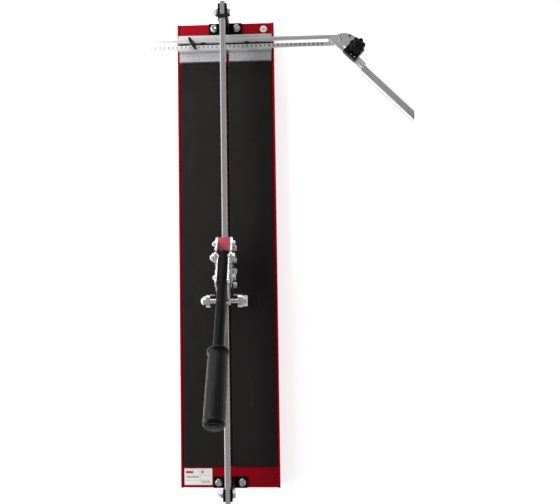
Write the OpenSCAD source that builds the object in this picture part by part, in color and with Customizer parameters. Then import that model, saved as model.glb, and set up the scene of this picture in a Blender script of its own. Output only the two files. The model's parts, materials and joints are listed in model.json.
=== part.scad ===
// Manual tile cutter: a steel base with rubber mats, one chromed rail on two posts, a lever
// carriage with a scoring wheel and a breaker, and a sliding scale bar with an angle arm.
// The origin is on the table plane under the middle of the base. X is to the right, Y runs
// along the rail towards the stop, Z is up. All sizes are in millimetres.

/* [Base] */
// Width of the steel base
base_w = 225; // [220:1:280]
// Length of the steel base
base_l = 1065; // [880:1:1300]
// Height of the folded tray, without its feet
tray_h = 22; // [18:1:32]
// Thickness of the tray's sheet
sheet_t = 2; // [1.5:0.1:3]
// Diameter of the rolled hem along each long side
hem_d = 6; // [4:0.5:7]
// Width of the sheet's return under each long side
return_w = 24; // [22:1:34]
// Height of the rubber feet
foot_h = 12; // [8:1:20]
// Diameter of the corner feet
foot_d = 18; // [12:1:20]
// Diameter of the middle foot
middle_foot_d = 60; // [40:1:80]
// Width of the beam under the middle of the tray
spine_w = 50; // [40:1:80]

/* [Mats] */
// Thickness of the rubber mats
mat_t = 5; // [3:0.5:8]
// Width of the groove between the two mats
mat_gap = 11; // [9:0.5:16]
// Gap between a mat's outer edge and the hem
mat_inset = 2; // [1:0.5:5]
// Bare strip of tray at the near end
near_strip = 46.5; // [46:0.5:80]
// Corner radius of the mats
mat_corner_r = 5; // [2:0.5:10]
// Thickness of the breaking rib in the groove
rib_t = 3; // [2:0.5:5]

/* [Rail] */
// Width of the rail
rail_w = 12; // [10:0.5:14]
// Height of the rail's section
rail_h = 30; // [26:1:36]
// Height of the rail's top above the tray
rail_top = 100; // [90:1:125]
// Length of rail that stands out past each end of the base
rail_over = 5; // [2:0.5:15]
// Chamfer along the rail's edges
rail_chamfer = 1.6; // [0.5:0.1:3]
// Length of the bumper along the rail
bumper_l = 6; // [4:0.5:12]
// Wall of the bumper round the rail
bumper_wall = 4; // [2:0.5:6]

/* [Posts] */
// Width of a post's foot plate
post_w = 77; // [70:1:90]
// Depth of a post along the rail
post_d = 25; // [20:1:32]
// Thickness of a post's plate
post_t = 4; // [3:0.5:6]
// Distance between a post's two foot screws
post_screw_gap = 53; // [46:1:62]
// Thread diameter of the foot screws
post_screw_d = 8; // [6:1:8]
// Thread diameter of the rail bolts
rail_bolt_d = 10; // [6:1:10]

/* [Stop and guide] */
// Depth of the tile stop along the rail
stop_d = 20; // [14:1:30]
// Height of the tile stop above the tray
stop_h = 12; // [8:0.5:16]
// Bare strip of tray at the far end, behind the guide
far_strip = 37; // [30:1:60]
// Height of the guide's floor above the tray
guide_floor = 22; // [19:0.5:28]
// Wall of the guide under the scale bar
guide_wall = 2.5; // [2:0.1:4]
// Width of the guide's near lip
near_lip = 2.3; // [1.5:0.1:4]
// Width of the guide's far lip
far_lip = 6.8; // [3:0.1:9]
// Clearance at each side of the scale bar in its guide
bar_clearance = 0.2; // [0.1:0.05:0.4]

/* [Scale bar] */
// Length of the scale bar
bar_l = 455; // [400:1:520]
// Width of the scale bar
bar_w = 25; // [24:0.5:32]
// Thickness of the scale bar
bar_t = 4; // [3:0.5:5]
// Width of the slot along the scale bar
slot_w = 6.5; // [6:0.1:8]
// Distance from the scale bar's left end to its slot
slot_margin = 12; // [8:1:25]
// Distance from the slot's right end to the scale bar's right end
slot_tail = 32; // [30:1:50]
// Distance from the base's middle to the scale bar's left end
bar_left = 187; // [170:1:200]
// Distance from the base's middle to each guide shoe
shoe_x = 50; // [40:1:56]
// Distance from the base's middle to the clamp stud and to the limit pin
clamp_x = 74; // [72:1:84]
// Diameter of the clamp stud and of the limit pin
stud_d = 5; // [4:0.5:5]
// Length of the clamp's wing
wing_l = 30; // [26:1:36]
// Width of the clamp's wing
wing_w = 10; // [8:0.5:14]

/* [Angle arm] */
// Radius of the protractor plate
dome_r = 38; // [36:0.5:44]
// Thickness of the protractor plate
dome_t = 3; // [2:0.5:4]
// Angle of the arm below the scale bar at rest
arm_angle = 45; // [30:1:60]
// Distance from the scale bar's right end to the knob's axis
knob_x = 28; // [24:1:40]
// Distance from the scale bar's centre line to the knob's axis
knob_y = 24.5; // [20:0.5:28]
// Diameter of the star knob over its lobes
knob_d = 36; // [30:1:40]
// Height of the star knob
knob_h = 15; // [10:1:22]
// Diameter of the knob's stud
knob_stud_d = 8; // [6:1:8]
// Length and width of the black clamp block
block_l = 34; // [30:1:36]
// Height of the clamp block
block_h = 14; // [10:1:20]
// Length of the angle arm
arm_l = 178; // [150:1:200]
// Width of the angle arm's top flange
arm_w = 14.5; // [12:0.5:16]
// Thickness of the angle arm's walls
arm_t = 2.5; // [2:0.5:4]
// Height of the angle arm's fence face
arm_h = 17.5; // [14:0.5:17.5]

/* [Carriage] */
// Length of the side plates along the rail
plate_l = 115; // [110:1:130]
// Distance from the carriage's datum to the side plates' far end
plate_front = 22.5; // [22:0.5:26]
// Thickness of the side plates
plate_t = 4; // [3:0.5:5]
// Diameter of the carriage's bolts
axle_d = 8; // [6:1:8]
// Diameter of the lower rollers
low_roller_d = 20; // [16:1:24]
// Diameter of the upper roller
top_roller_d = 16; // [14:1:20]
// Width of a roller
roller_w = 11; // [8:1:14]
// Clearance between a roller or the slide block and the rail
rail_clearance = 0.3; // [0.2:0.05:0.5]
// Radial clearance of a running fit
run_clearance = 0.05; // [0.02:0.01:0.08]
// Length of the red slide block
block_slide_l = 29; // [24:1:32]
// Height of the red slide block
block_slide_h = 22; // [18:1:28]

/* [Lever] */
// Height of the lever's pivot above the rail's top
pivot_rise = 46; // [44:1:70]
// Diameter of the pivot bolt
pivot_d = 10; // [8:1:10]
// Angle of the lever above the table at rest
lever_angle = 41; // [35:1:50]
// Outside diameter of the lever tube
lever_d = 20; // [18:1:22]
// Wall of the lever tube
lever_wall = 2; // [1.5:0.1:3]
// Length of the lever from its pivot to the end of the grip
lever_l = 389; // [300:1:460]
// Length of the rubber grip
grip_l = 152; // [120:1:180]
// Diameter of the grip's body
grip_d = 37; // [32:1:40]
// Diameter of the grip's collar
grip_collar_d = 41; // [38:1:46]
// Thickness of a cheek plate
cheek_t = 2.8; // [2:0.1:3]

/* [Breaker] */
// Distance from the lever's pivot back to the breaker rod
rod_back = 89; // [80:1:100]
// Distance from the lever's pivot down to the breaker rod
rod_drop = 11; // [4:1:12]
// Diameter of the breaker rod
rod_d = 10; // [8:1:12]
// Thickness of a breaker arm
breaker_t = 8.5; // [5:0.5:10]
// Width of a breaker arm
breaker_w = 30; // [24:1:34]
// Height of the breaker's pads above the mats at rest
pad_rest = 33; // [20:1:45]
// Width of the tab bent inwards at the front of each breaker arm
breaker_tab_w = 9; // [4:0.5:9]
// Distance from the rail's middle to the outside of each pad
pad_out = 70; // [60:1:80]
// Thickness of the breaker's pads
pad_t = 8; // [5:1:12]
// Thickness of the breaker's feet
breaker_foot_t = 5; // [4:0.5:8]

/* [Scoring wheel] */
// Distance from the carriage's datum back to the wheel
wheel_back = 35; // [33:1:40]
// Diameter of the scoring wheel
wheel_d = 22; // [16:1:24]
// Thickness of the scoring wheel
wheel_t = 3; // [2:0.5:4]
// Height of the wheel's lowest point above the tray at rest
wheel_low = 14; // [13:0.5:20]
// Diameter of the wheel fork's stem
stem_d = 12; // [8:1:14]

/* [Hidden] */
$fn = 64;

steel = "silver";
black = [0.09, 0.09, 0.1];
bite = 1;                                  // how far a cutting tool runs past a face

base_top = foot_h + tray_h;
half_w = base_w / 2;
half_l = base_l / 2;
post_y = half_l - post_d / 2;
rail_z = base_top + rail_top;              // top face of the rail
rail_low_z = rail_z - rail_h;
rail_mid_z = rail_z - rail_h / 2;
rail_l = base_l + 2 * rail_over;
ear_out = rail_w / 2 + post_t;             // outer face of a post's ear
rail_bolt_tail = 12;                       // rail bolt past the ear

// Stop, guide and scale bar, from the far end towards the middle
guide_far_y = half_l - far_strip;
bar_y = guide_far_y - far_lip - bar_clearance - bar_w / 2;
guide_near_y = bar_y - bar_w / 2 - bar_clearance - near_lip;
stop_gap = 0.3;
stop_far_y = guide_near_y - stop_gap;
stop_near_y = stop_far_y - stop_d;
mat_edge_gap = 0.5;
mat_far_y = stop_near_y - mat_edge_gap;
mat_near_y = near_strip - half_l;
mat_half_w = half_w - hem_d - mat_inset;
strip_half_w = half_w - hem_d;
stop_in_x = mat_gap / 2 + 3;
guide_half_w = strip_half_w;
guide_z = base_top + guide_floor;
bar_z = guide_z + bar_t;                   // top face of the scale bar
bar_right = bar_l - bar_left;
slot_left = slot_margin - bar_left;
slot_right = bar_right - slot_tail;
shoe_l = 10;
shoe_side_clearance = 0.2;
shoe_over = 1.4;
wing_h = 7;
wing_turn = -66;
washer_t = 1.6;
washer_gap = 0.3;
wing_z = bar_z + washer_gap + washer_t;

// Angle arm, measured in a frame turned by the arm's angle about the knob's axis
axis_x = bar_right + knob_x;
axis_y = bar_y - knob_y;
flat_gap = 0.3;                            // gap between flat faces that slide past each other
dome_z = bar_z;
dome_dx = -26;                             // disc centre, from the knob's axis
dome_dy = 1;
fence_off = 23.4;                          // fence face, from the knob's axis, across the arm
block_z = dome_z + dome_t;
block_side = 8.5;
knob_z = block_z + block_h + flat_gap;
bracket_t = 2.5;
bracket_z = dome_z - flat_gap - bracket_t;
bracket_w = 18.5;
bracket_hub_d = 26;
bracket_end = 40;
bracket_lap = 14;                          // length of the arm that lies under its bracket
arm_start = bracket_end - bracket_lap;
knob_lobes = 7;
lobe_d = 11;
RIVETS = [[7.5, 6.5], [5.5, 0]];           // from the scale bar's right end and centre line
rivet_d = 3;
rivet_head_d = 5.5;

// Carriage, with its datum on the rail's middle at Y = 0
nut_af = axle_d + 5;                       // across the flats of the carriage's nuts
side_gap = 0.5;                            // gap between the side plates and what moves there
cheek_gap = 0.2;                           // gap between the lever tube and a cheek
cheek_in = lever_d / 2 + cheek_gap;
cheek_out = cheek_in + cheek_t;
plate_in = cheek_out + side_gap;
plate_gap = 2 * plate_in;
plate_out = plate_in + plate_t;
plate_rear = plate_front - plate_l;
low_axle_z = rail_low_z - rail_clearance - low_roller_d / 2;
top_axle_z = rail_z + rail_clearance + top_roller_d / 2;
front_axle_y = 3;
rear_axle_y = plate_rear + 14.5;
top_axle_y = plate_rear + 30;
block_bolt_y = 8;
slide_block_z = rail_z + rail_clearance;
block_bolt_z = slide_block_z + block_slide_h / 2;
pivot_y = -23;
pivot_z = rail_z + pivot_rise;
plate_low_z = low_axle_z - 16;
nut_h = 6.5;
nut_tail = 2;                              // carriage bolt past its nut
pivot_tail = 10;                           // pivot bolt past the side plate
head_h = 5.5;
big_af = 17;                               // across the flats of the rail, pivot and cap nuts
big_head_h = head_h + 1;
big_nut_h = 8;
washer_d = 16;
plain_washer_t = 1.4;

// Lever, measured along the tube from its pivot
tube_front = 12;
grip_start = lever_l - grip_l;
cheek_reach = 70;
RIVET_ALONG = [40, 66];                   // places of the cheek rivets, along the tube
cheek_rivet_d = 6;
grip_end_t = 6;
rod_y = pivot_y - rod_back;
rod_z = pivot_z - rod_drop;
breaker_in = plate_out + pivot_tail + 1;
breaker_out = breaker_in + breaker_t;
pad_z = base_top + mat_t + pad_rest;
foot_z = pad_z + pad_t;
foot_l = breaker_w - 6;
foot_out = pad_out - 3;                    // the foot ends inside its rubber shoe
pad_in = breaker_in + 6;
knurl_d = 24;
knurl_l = 11;

// Wheel
wheel_y = -wheel_back;
wheel_z = base_top + wheel_low + wheel_d / 2;
fork_w = 12;
fork_gap = wheel_t + 1;
fork_pin_d = 5;
fork_top = wheel_z + wheel_d / 2 + 3;
fork_rise = 1.7;                           // gap between the fork and the wheel block above it
stem_bore_l = 22;
stem_screw_d = 5;
wheel_bolt_off = stem_d / 2 + axle_d / 2 + 2.5;
wheel_block_l = 2 * wheel_bolt_off + axle_d + 3;
wheel_block_z = max(low_axle_z - 19, fork_top + fork_rise);
wheel_block_h = min(25, rail_low_z - 0.6 - wheel_block_z);
wheel_bolt_z = wheel_block_z + wheel_block_h / 2;
stem_screw_z = wheel_block_z + 4;

// ---- shared shapes ----

// A cylinder along X from x0 to x1
module rod_x(x0, x1, d, sides = 64) {
    translate([x0, 0, 0])
        rotate([0, 90, 0])
            cylinder(h = x1 - x0, d = d, $fn = sides);
}

// A hexagon along X, with af across its flats
module hex_x(x0, x1, af) {
    translate([x0, 0, 0])
        rotate([0, 90, 0])
            cylinder(h = x1 - x0, d = af / cos(30), $fn = 6);
}

// A plate in the YZ plane from x0 to x1, from a two-dimensional outline
module plate_x(x0, x1) {
    translate([x0, 0, 0])
        rotate([90, 0, 90])
            linear_extrude(x1 - x0)
                children();
}

// A flat outline with rounded corners
module rounded_outline(w, l, r) {
    square([w - 2 * r, l], center = true);
    square([w, l - 2 * r], center = true);
    for (sx = [-1, 1], sy = [-1, 1])
        translate([sx * (w / 2 - r), sy * (l / 2 - r)])
            circle(r);
}

// The lever's own frame: its origin is the pivot and its -Y runs up along the tube
module lever_frame() {
    translate([0, pivot_y, pivot_z])
        rotate([-lever_angle, 0, 0])
            children();
}

// The arm's own frame: its origin is the knob's axis and its +X runs out along the arm
module arm_frame() {
    translate([axis_x, axis_y, 0])
        rotate([0, 0, -arm_angle])
            children();
}

// ---- base ----

module tray() {
    color([0.7, 0.02, 0.05])
        difference() {
            union() {
                translate([-half_w, -half_l, foot_h])
                    cube([base_w, base_l, tray_h]);
                for (side = [-1, 1])
                    translate([side * (half_w - hem_d / 2), half_l, base_top])
                        rotate([90, 0, 0])
                            cylinder(h = base_l, d = hem_d);
            }
            translate([sheet_t - half_w, sheet_t - half_l, foot_h + sheet_t])
                cube([base_w - 2 * sheet_t, base_l - 2 * sheet_t, tray_h - 2 * sheet_t]);
            translate([return_w - half_w, return_w - half_l, foot_h - bite])
                cube([base_w - 2 * return_w, base_l - 2 * return_w, tray_h / 2]);
        }
}

module spine() {
    color("dimgray")
        difference() {
            translate([-spine_w / 2, return_w - half_l, foot_h])
                cube([spine_w, base_l - 2 * return_w, tray_h - sheet_t]);
            translate([sheet_t - spine_w / 2, return_w - half_l - bite, foot_h + sheet_t])
                cube([spine_w - 2 * sheet_t, base_l, tray_h - 3 * sheet_t]);
        }
}

module mat(side) {
    mat_w = mat_half_w - mat_gap / 2;
    mat_l = mat_far_y - mat_near_y;
    color(black)
        translate([side * (mat_gap / 2 + mat_w / 2), (mat_far_y + mat_near_y) / 2, base_top])
            linear_extrude(mat_t)
                rounded_outline(mat_w, mat_l, mat_corner_r);
}

module mat_left() {
    mat(-1);
}

module mat_right() {
    mat(1);
}

module breaking_rib() {
    color([0.45, 0.05, 0.06])
        translate([-rib_t / 2, mat_near_y, base_top])
            cube([rib_t, stop_far_y - mat_near_y, mat_t - 0.5]);
}

module corner_feet() {
    foot_x = half_w - return_w / 2;
    foot_y = half_l - 60;
    color(black)
        for (sx = [-1, 1], sy = [-1, 1])
            translate([sx * foot_x, sy * foot_y, 0])
                cylinder(h = foot_h, d = foot_d);
}

module middle_foot() {
    color(black)
        cylinder(h = foot_h, d = middle_foot_d);
}

// A post is a folded plate: a foot with two ears that hold the rail between them
module post(side) {
    color(black)
        translate([0, side * post_y, base_top])
            difference() {
                union() {
                    translate([-post_w / 2, -post_d / 2, 0])
                        cube([post_w, post_d, post_t]);
                    for (ear = [-1, 1])
                        translate([ear * (rail_w + post_t) / 2 - post_t / 2, -post_d / 2, 0])
                            cube([post_t, post_d, rail_top]);
                }
                for (hole = [-1, 1])
                    translate([hole * post_screw_gap / 2, 0, -bite])
                        cylinder(h = post_t + 2 * bite, d = post_screw_d);
                translate([0, 0, rail_top - rail_h / 2])
                    rod_x(-post_w / 2, post_w / 2, rail_bolt_d);
            }
}

module near_post() {
    post(-1);
}

module far_post() {
    post(1);
}

module post_screws() {
    head_af = 13;
    color(steel)
        for (sy = [-1, 1], sx = [-1, 1])
            translate([sx * post_screw_gap / 2, sy * post_y, base_top]) {
                cylinder(h = post_t, d = post_screw_d);
                translate([0, 0, post_t])
                    cylinder(h = plain_washer_t, d = washer_d);
                translate([0, 0, post_t + plain_washer_t])
                    cylinder(h = head_h, d = head_af / cos(30), $fn = 6);
            }
}

module rail() {
    c = rail_chamfer;
    w = rail_w / 2;
    h = rail_h / 2;
    color("gainsboro")
        translate([0, 0, rail_mid_z])
            rotate([90, 0, 0])
                difference() {
                    linear_extrude(rail_l, center = true)
                        polygon([
                            [w, h - c], [w - c, h], [c - w, h], [-w, h - c],
                            [-w, c - h], [c - w, -h], [w - c, -h], [w, c - h],
                        ]);
                    for (side = [-1, 1])
                        translate([0, 0, side * post_y])
                            rod_x(-rail_w, rail_w, rail_bolt_d);
                }
}

// Bolt heads are on the right of the posts and nuts on the left
module rail_bolts() {
    color(steel)
        for (side = [-1, 1])
            translate([0, side * post_y, rail_mid_z]) {
                rod_x(-ear_out - rail_bolt_tail, ear_out, rail_bolt_d);
                hex_x(ear_out, ear_out + big_head_h, big_af);
            }
}

module rail_nuts() {
    color(steel)
        for (side = [-1, 1])
            translate([0, side * post_y, rail_mid_z])
                difference() {
                    hex_x(-ear_out - big_nut_h, -ear_out, big_af);
                    rod_x(-ear_out - big_nut_h - bite, bite - ear_out, rail_bolt_d);
                }
}

module rail_bumper() {
    bumper_y = post_y - post_d / 2 - bumper_l;
    color(black)
        translate([0, bumper_y, rail_mid_z])
            difference() {
                translate([-rail_w / 2 - bumper_wall, 0, -rail_h / 2 - bumper_wall])
                    cube([rail_w + 2 * bumper_wall, bumper_l, rail_h + 2 * bumper_wall]);
                translate([-rail_w / 2, -bite, -rail_h / 2])
                    cube([rail_w, bumper_l + 2 * bite, rail_h]);
            }
}

// ---- stop and guide ----

module stop(side) {
    stop_w = strip_half_w - 1 - stop_in_x;
    groove = 1.2;
    color([0.75, 0.75, 0.76])
        translate([side * (stop_in_x + stop_w / 2), stop_near_y, base_top])
            difference() {
                translate([-stop_w / 2, 0, 0])
                    cube([stop_w, stop_d, stop_h]);
                for (row = [1:3])
                    translate([-stop_w / 2 - bite, row * stop_d / 4, stop_h - groove / 2])
                        cube([stop_w + 2 * bite, groove, groove]);
            }
}

module stop_left() {
    stop(-1);
}

module stop_right() {
    stop(1);
}

// A hollow extrusion: a floor that the scale bar slides on, between two lips
module guide_channel() {
    depth = guide_far_y - guide_near_y;
    channel_w = bar_w + 2 * bar_clearance;
    color([0.82, 0.82, 0.83])
        translate([-guide_half_w, guide_near_y, base_top])
            difference() {
                cube([2 * guide_half_w, depth, bar_z - base_top]);
                translate([-bite, near_lip, guide_floor])
                    cube([2 * guide_half_w + 2 * bite, channel_w, bar_t + bite]);
                translate([-bite, guide_wall, guide_wall])
                    cube([
                        2 * guide_half_w + 2 * bite,
                        depth - 2 * guide_wall,
                        guide_floor - 2 * guide_wall
                    ]);
            }
}

module guide_shoes() {
    color(black)
        for (side = [-1, 1])
            translate([side * shoe_x, bar_y, guide_z]) {
                translate([-shoe_l / 2, shoe_side_clearance - slot_w / 2, 0])
                    cube([shoe_l, slot_w - 2 * shoe_side_clearance, bar_t + shoe_over]);
                translate([0, 0, bar_t + shoe_over])
                    cylinder(h = 1, d = 5);
            }
}

module limit_pin() {
    color(black)
        translate([clamp_x, bar_y, guide_z])
            cylinder(h = bar_t + 2, d = stud_d);
}

module clamp_stud() {
    color(steel)
        translate([-clamp_x, bar_y, guide_z])
            cylinder(h = wing_z + wing_h - guide_z + 1, d = stud_d);
}

module label_plate() {
    label_w = 63;
    label_l = 37;
    color("white")
        translate([8 - half_w, 6 - half_l, base_top])
            cube([label_w, label_l, 0.3]);
}

module round_badge() {
    badge_d = 16;
    color("white")
        translate([half_w - 24, half_l - 14, base_top])
            cylinder(h = 0.3, d = badge_d);
}

// ---- scale bar ----

module scale_bar() {
    slot_l = slot_right - slot_left;
    color([0.85, 0.85, 0.86])
        translate([0, bar_y, guide_z])
            linear_extrude(bar_t)
                difference() {
                    translate([-bar_left, -bar_w / 2])
                        square([bar_l, bar_w]);
                    translate([slot_left + slot_w / 2, -slot_w / 2])
                        square([slot_l - slot_w, slot_w]);
                    for (end = [slot_left + slot_w / 2, slot_right - slot_w / 2])
                        translate([end, 0])
                            circle(d = slot_w);
                    for (rivet = RIVETS)
                        translate([bar_right - rivet[0], rivet[1]])
                            circle(d = rivet_d);
                }
}

// The disc is cut by a straight edge that is parallel to the arm at rest
module protractor_plate() {
    hub_r = 13;
    color([0.72, 0.72, 0.74])
        translate([axis_x, axis_y, dome_z])
            linear_extrude(dome_t)
                difference() {
                    intersection() {
                        union() {
                            translate([dome_dx, dome_dy])
                                circle(dome_r);
                            circle(hub_r);
                        }
                        rotate(-arm_angle)
                            translate([-3 * dome_r, -fence_off])
                                square([6 * dome_r, 3 * dome_r]);
                    }
                    circle(d = knob_stud_d);
                    translate([dome_dx + 1, dome_dy + 6])
                        rotate(-45)
                            rounded_outline(7, 3, 1.45);
                    for (rivet = RIVETS)
                        translate([-knob_x - rivet[0], knob_y + rivet[1]])
                            circle(d = rivet_d);
                }
}

// Two rivets join the protractor plate to the scale bar's tail
module plate_rivets() {
    rivet_head = 1.2;
    color(steel)
        for (rivet = RIVETS)
            translate([bar_right - rivet[0], bar_y + rivet[1], guide_z]) {
                cylinder(h = bar_t + dome_t, d = rivet_d);
                translate([0, 0, bar_t + dome_t])
                    cylinder(h = rivet_head, d = rivet_head_d);
            }
}

module knob_stud() {
    stud_head = 3;
    stud_low = bracket_z - flat_gap;
    color(steel)
        translate([axis_x, axis_y, 0]) {
            translate([0, 0, stud_low - stud_head])
                cylinder(h = stud_head, d = 14 / cos(30), $fn = 6);
            translate([0, 0, stud_low])
                cylinder(h = knob_z + knob_h - 4 - stud_low, d = knob_stud_d);
        }
}

module clamp_wing() {
    tip_d = 5;
    color(black)
        translate([-clamp_x, bar_y, wing_z])
            rotate([0, 0, wing_turn])
                difference() {
                    linear_extrude(wing_h)
                        hull() {
                            circle(d = wing_w, $fn = 32);
                            for (end = [-1, 1])
                                translate([end * (wing_l - tip_d) / 2, end * 1.5])
                                    circle(d = tip_d, $fn = 32);
                        }
                    translate([0, 0, -bite])
                        cylinder(h = wing_h + 2 * bite, d = stud_d + 2 * run_clearance);
                }
}

module clamp_washer() {
    color(steel)
        translate([-clamp_x, bar_y, bar_z + washer_gap])
            difference() {
                cylinder(h = washer_t, d = 12);
                translate([0, 0, -bite])
                    cylinder(h = washer_t + 2 * bite, d = stud_d + 2 * run_clearance);
            }
}

// ---- angle arm ----

module arm_bracket() {
    color([0.9, 0.9, 0.9])
        arm_frame()
            translate([0, 0, bracket_z])
                linear_extrude(bracket_t)
                    difference() {
                        union() {
                            circle(d = bracket_hub_d);
                            translate([-bracket_hub_d / 2, -fence_off])
                                square([bracket_end + bracket_hub_d / 2, bracket_w]);
                        }
                        circle(d = knob_stud_d + 2 * run_clearance);
                    }
}

module angle_arm() {
    nose = 13;
    color([0.7, 0.7, 0.71])
        arm_frame()
            translate([arm_start, -fence_off, bracket_z]) {
                translate([0, 0, -arm_t])
                    linear_extrude(arm_t)
                        polygon([
                            [0, 0], [arm_l, 0], [arm_l, 2],
                            [arm_l - nose, arm_w], [0, arm_w],
                        ]);
                translate([bracket_lap, 0, -arm_h])
                    cube([arm_l - bracket_lap, arm_t, arm_h]);
            }
}

module clamp_block() {
    color(black)
        arm_frame()
            translate([0, 0, block_z])
                linear_extrude(block_h)
                    difference() {
                        translate([-block_l / 2, block_side - block_l])
                            square([block_l, block_l]);
                        circle(d = knob_stud_d);
                    }
}

module arm_rivets() {
    rivet_head = 1.2;
    color(steel)
        arm_frame()
            for (dx = [4, 10])
                translate([bracket_end - dx, arm_w / 2 - fence_off, bracket_z + bracket_t])
                    cylinder(h = rivet_head, d = rivet_head_d);
}

module star_knob() {
    lobe_r = (knob_d - lobe_d) / 2;
    color(black)
        translate([axis_x, axis_y, knob_z])
            difference() {
                union() {
                    cylinder(h = knob_h, d = knob_d - lobe_d);
                    for (lobe = [0:knob_lobes - 1])
                        rotate([0, 0, lobe * 360 / knob_lobes])
                            translate([lobe_r, 0, 0])
                                cylinder(h = knob_h - 2, d = lobe_d);
                }
                translate([0, 0, -bite])
                    cylinder(h = knob_h - 4 + bite + 0.5, d = knob_stud_d + 2 * run_clearance);
            }
}

// ---- carriage ----

// Places of the bolts that pass through both side plates, as [Y, Z]
BOLTS = [
    [front_axle_y, low_axle_z],
    [rear_axle_y, low_axle_z],
    [top_axle_y, top_axle_z],
    [block_bolt_y, block_bolt_z],
    [wheel_y - wheel_bolt_off, wheel_bolt_z],
    [wheel_y + wheel_bolt_off, wheel_bolt_z],
];

module side_plate(x0, x1) {
    boss_d = 28;
    color(steel)
        plate_x(x0, x1)
            difference() {
                union() {
                    polygon([
                        [plate_front, plate_low_z],
                        [plate_front, slide_block_z + block_slide_h - 5],
                        [block_bolt_y, slide_block_z + block_slide_h + 3],
                        [pivot_y + boss_d / 2, pivot_z],
                        [pivot_y - boss_d / 2, pivot_z],
                        [top_axle_y - 12, top_axle_z + 12],
                        [plate_rear, low_axle_z + 12],
                        [plate_rear, plate_low_z],
                    ]);
                    translate([pivot_y, pivot_z])
                        circle(d = boss_d);
                }
                translate([pivot_y, pivot_z])
                    circle(d = pivot_d);
                for (bolt = BOLTS)
                    translate(bolt)
                        circle(d = axle_d);
            }
}

module side_plate_left() {
    side_plate(-plate_out, -plate_in);
}

module side_plate_right() {
    side_plate(plate_in, plate_out);
}

module slide_block() {
    color([0.75, 0.1, 0.12])
        difference() {
            translate([-plate_in, plate_front - block_slide_l - 0.5, slide_block_z])
                cube([plate_gap, block_slide_l, block_slide_h]);
            translate([0, block_bolt_y, block_bolt_z])
                rod_x(-plate_out, plate_out, axle_d);
        }
}

module carriage_bolts() {
    color(steel)
        for (bolt = BOLTS)
            translate([0, bolt[0], bolt[1]]) {
                rod_x(-plate_out - nut_h - nut_tail, plate_out, axle_d);
                hex_x(plate_out, plate_out + head_h, nut_af);
            }
}

module carriage_nuts() {
    color(steel)
        for (bolt = BOLTS)
            translate([0, bolt[0], bolt[1]])
                difference() {
                    hex_x(-plate_out - nut_h, -plate_out, nut_af);
                    rod_x(-plate_out - nut_h - bite, bite - plate_out, axle_d);
                }
}

module pivot_bolt() {
    color(steel)
        translate([0, pivot_y, pivot_z]) {
            rod_x(-plate_out - pivot_tail, plate_out, pivot_d);
            hex_x(plate_out, plate_out + big_head_h, big_af);
        }
}

module pivot_nut() {
    color(steel)
        translate([0, pivot_y, pivot_z])
            difference() {
                hex_x(-plate_out - big_nut_h, -plate_out, big_af);
                rod_x(-plate_out - big_nut_h - bite, bite - plate_out, pivot_d);
            }
}

module wheel_block() {
    color("dimgray")
        translate([0, wheel_y, wheel_block_z])
            difference() {
                translate([-plate_in, -wheel_block_l / 2, 0])
                    cube([plate_gap, wheel_block_l, wheel_block_h]);
                for (side = [-1, 1])
                    translate([0, side * wheel_bolt_off, wheel_bolt_z - wheel_block_z])
                        rod_x(-plate_out, plate_out, axle_d);
                translate([0, 0, -bite])
                    cylinder(h = stem_bore_l + bite, d = stem_d + 2 * run_clearance);
                translate([0, 0, stem_screw_z - wheel_block_z])
                    rotate([90, 0, 0])
                        cylinder(h = wheel_block_l, d = stem_screw_d);
            }
}

// The screw that holds the wheel fork's stem at its height
module stem_screw() {
    tip = stem_d / 2 + run_clearance + 0.2;
    color(steel)
        translate([0, wheel_y, stem_screw_z])
            rotate([90, 0, 0]) {
                translate([0, 0, tip])
                    cylinder(h = wheel_block_l / 2 - tip, d = stem_screw_d);
                translate([0, 0, wheel_block_l / 2])
                    cylinder(h = 4, d = 8 / cos(30), $fn = 6);
            }
}

module roller(y, z, d) {
    color("silver")
        translate([0, y, z])
            difference() {
                rod_x(-roller_w / 2, roller_w / 2, d);
                rod_x(-roller_w, roller_w, axle_d + 2 * run_clearance);
            }
}

module front_roller() {
    roller(front_axle_y, low_axle_z, low_roller_d);
}

module rear_roller() {
    roller(rear_axle_y, low_axle_z, low_roller_d);
}

module top_roller() {
    roller(top_axle_y, top_axle_z, top_roller_d);
}

// ---- lever ----

module lever_tube() {
    color(black)
        lever_frame()
            difference() {
                translate([0, tube_front, 0])
                    rotate([90, 0, 0])
                        cylinder(h = tube_front + lever_l - grip_end_t, d = lever_d);
                translate([0, -tube_front, 0])
                    rotate([90, 0, 0])
                        cylinder(h = lever_l, d = lever_d - 2 * lever_wall);
                rod_x(-lever_d, lever_d, pivot_d + 2 * run_clearance);
                for (along = RIVET_ALONG)
                    translate([0, -along, 0])
                        rod_x(-lever_d, lever_d, cheek_rivet_d);
            }
}

// A cheek joins the pivot, the breaker rod and a point up the lever tube
module cheek(x0, x1) {
    boss_d = 18;
    reach_y = -cheek_reach * cos(lever_angle);
    reach_z = cheek_reach * sin(lever_angle);
    color(steel)
        translate([0, pivot_y, pivot_z])
            plate_x(x0, x1)
                difference() {
                    union() {
                        polygon([
                            [0, -boss_d / 2], [boss_d / 2, 0],
                            [reach_y + boss_d / 3, reach_z + boss_d / 3],
                            [reach_y - boss_d / 2, reach_z],
                            [-rod_back - boss_d / 2, -rod_drop],
                            [-rod_back, -rod_drop - boss_d / 2],
                        ]);
                        for (spot = [[0, 0], [-rod_back, -rod_drop], [reach_y, reach_z]])
                            translate(spot)
                                circle(d = boss_d);
                    }
                    circle(d = pivot_d + 2 * run_clearance);
                    translate([-rod_back, -rod_drop])
                        circle(d = rod_d + 2 * run_clearance);
                    rotate(-lever_angle)
                        for (along = RIVET_ALONG)
                            translate([-along, 0])
                                circle(d = cheek_rivet_d);
                }
}

module cheek_left() {
    cheek(-cheek_out, -cheek_in);
}

module cheek_right() {
    cheek(cheek_in, cheek_out);
}

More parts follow.
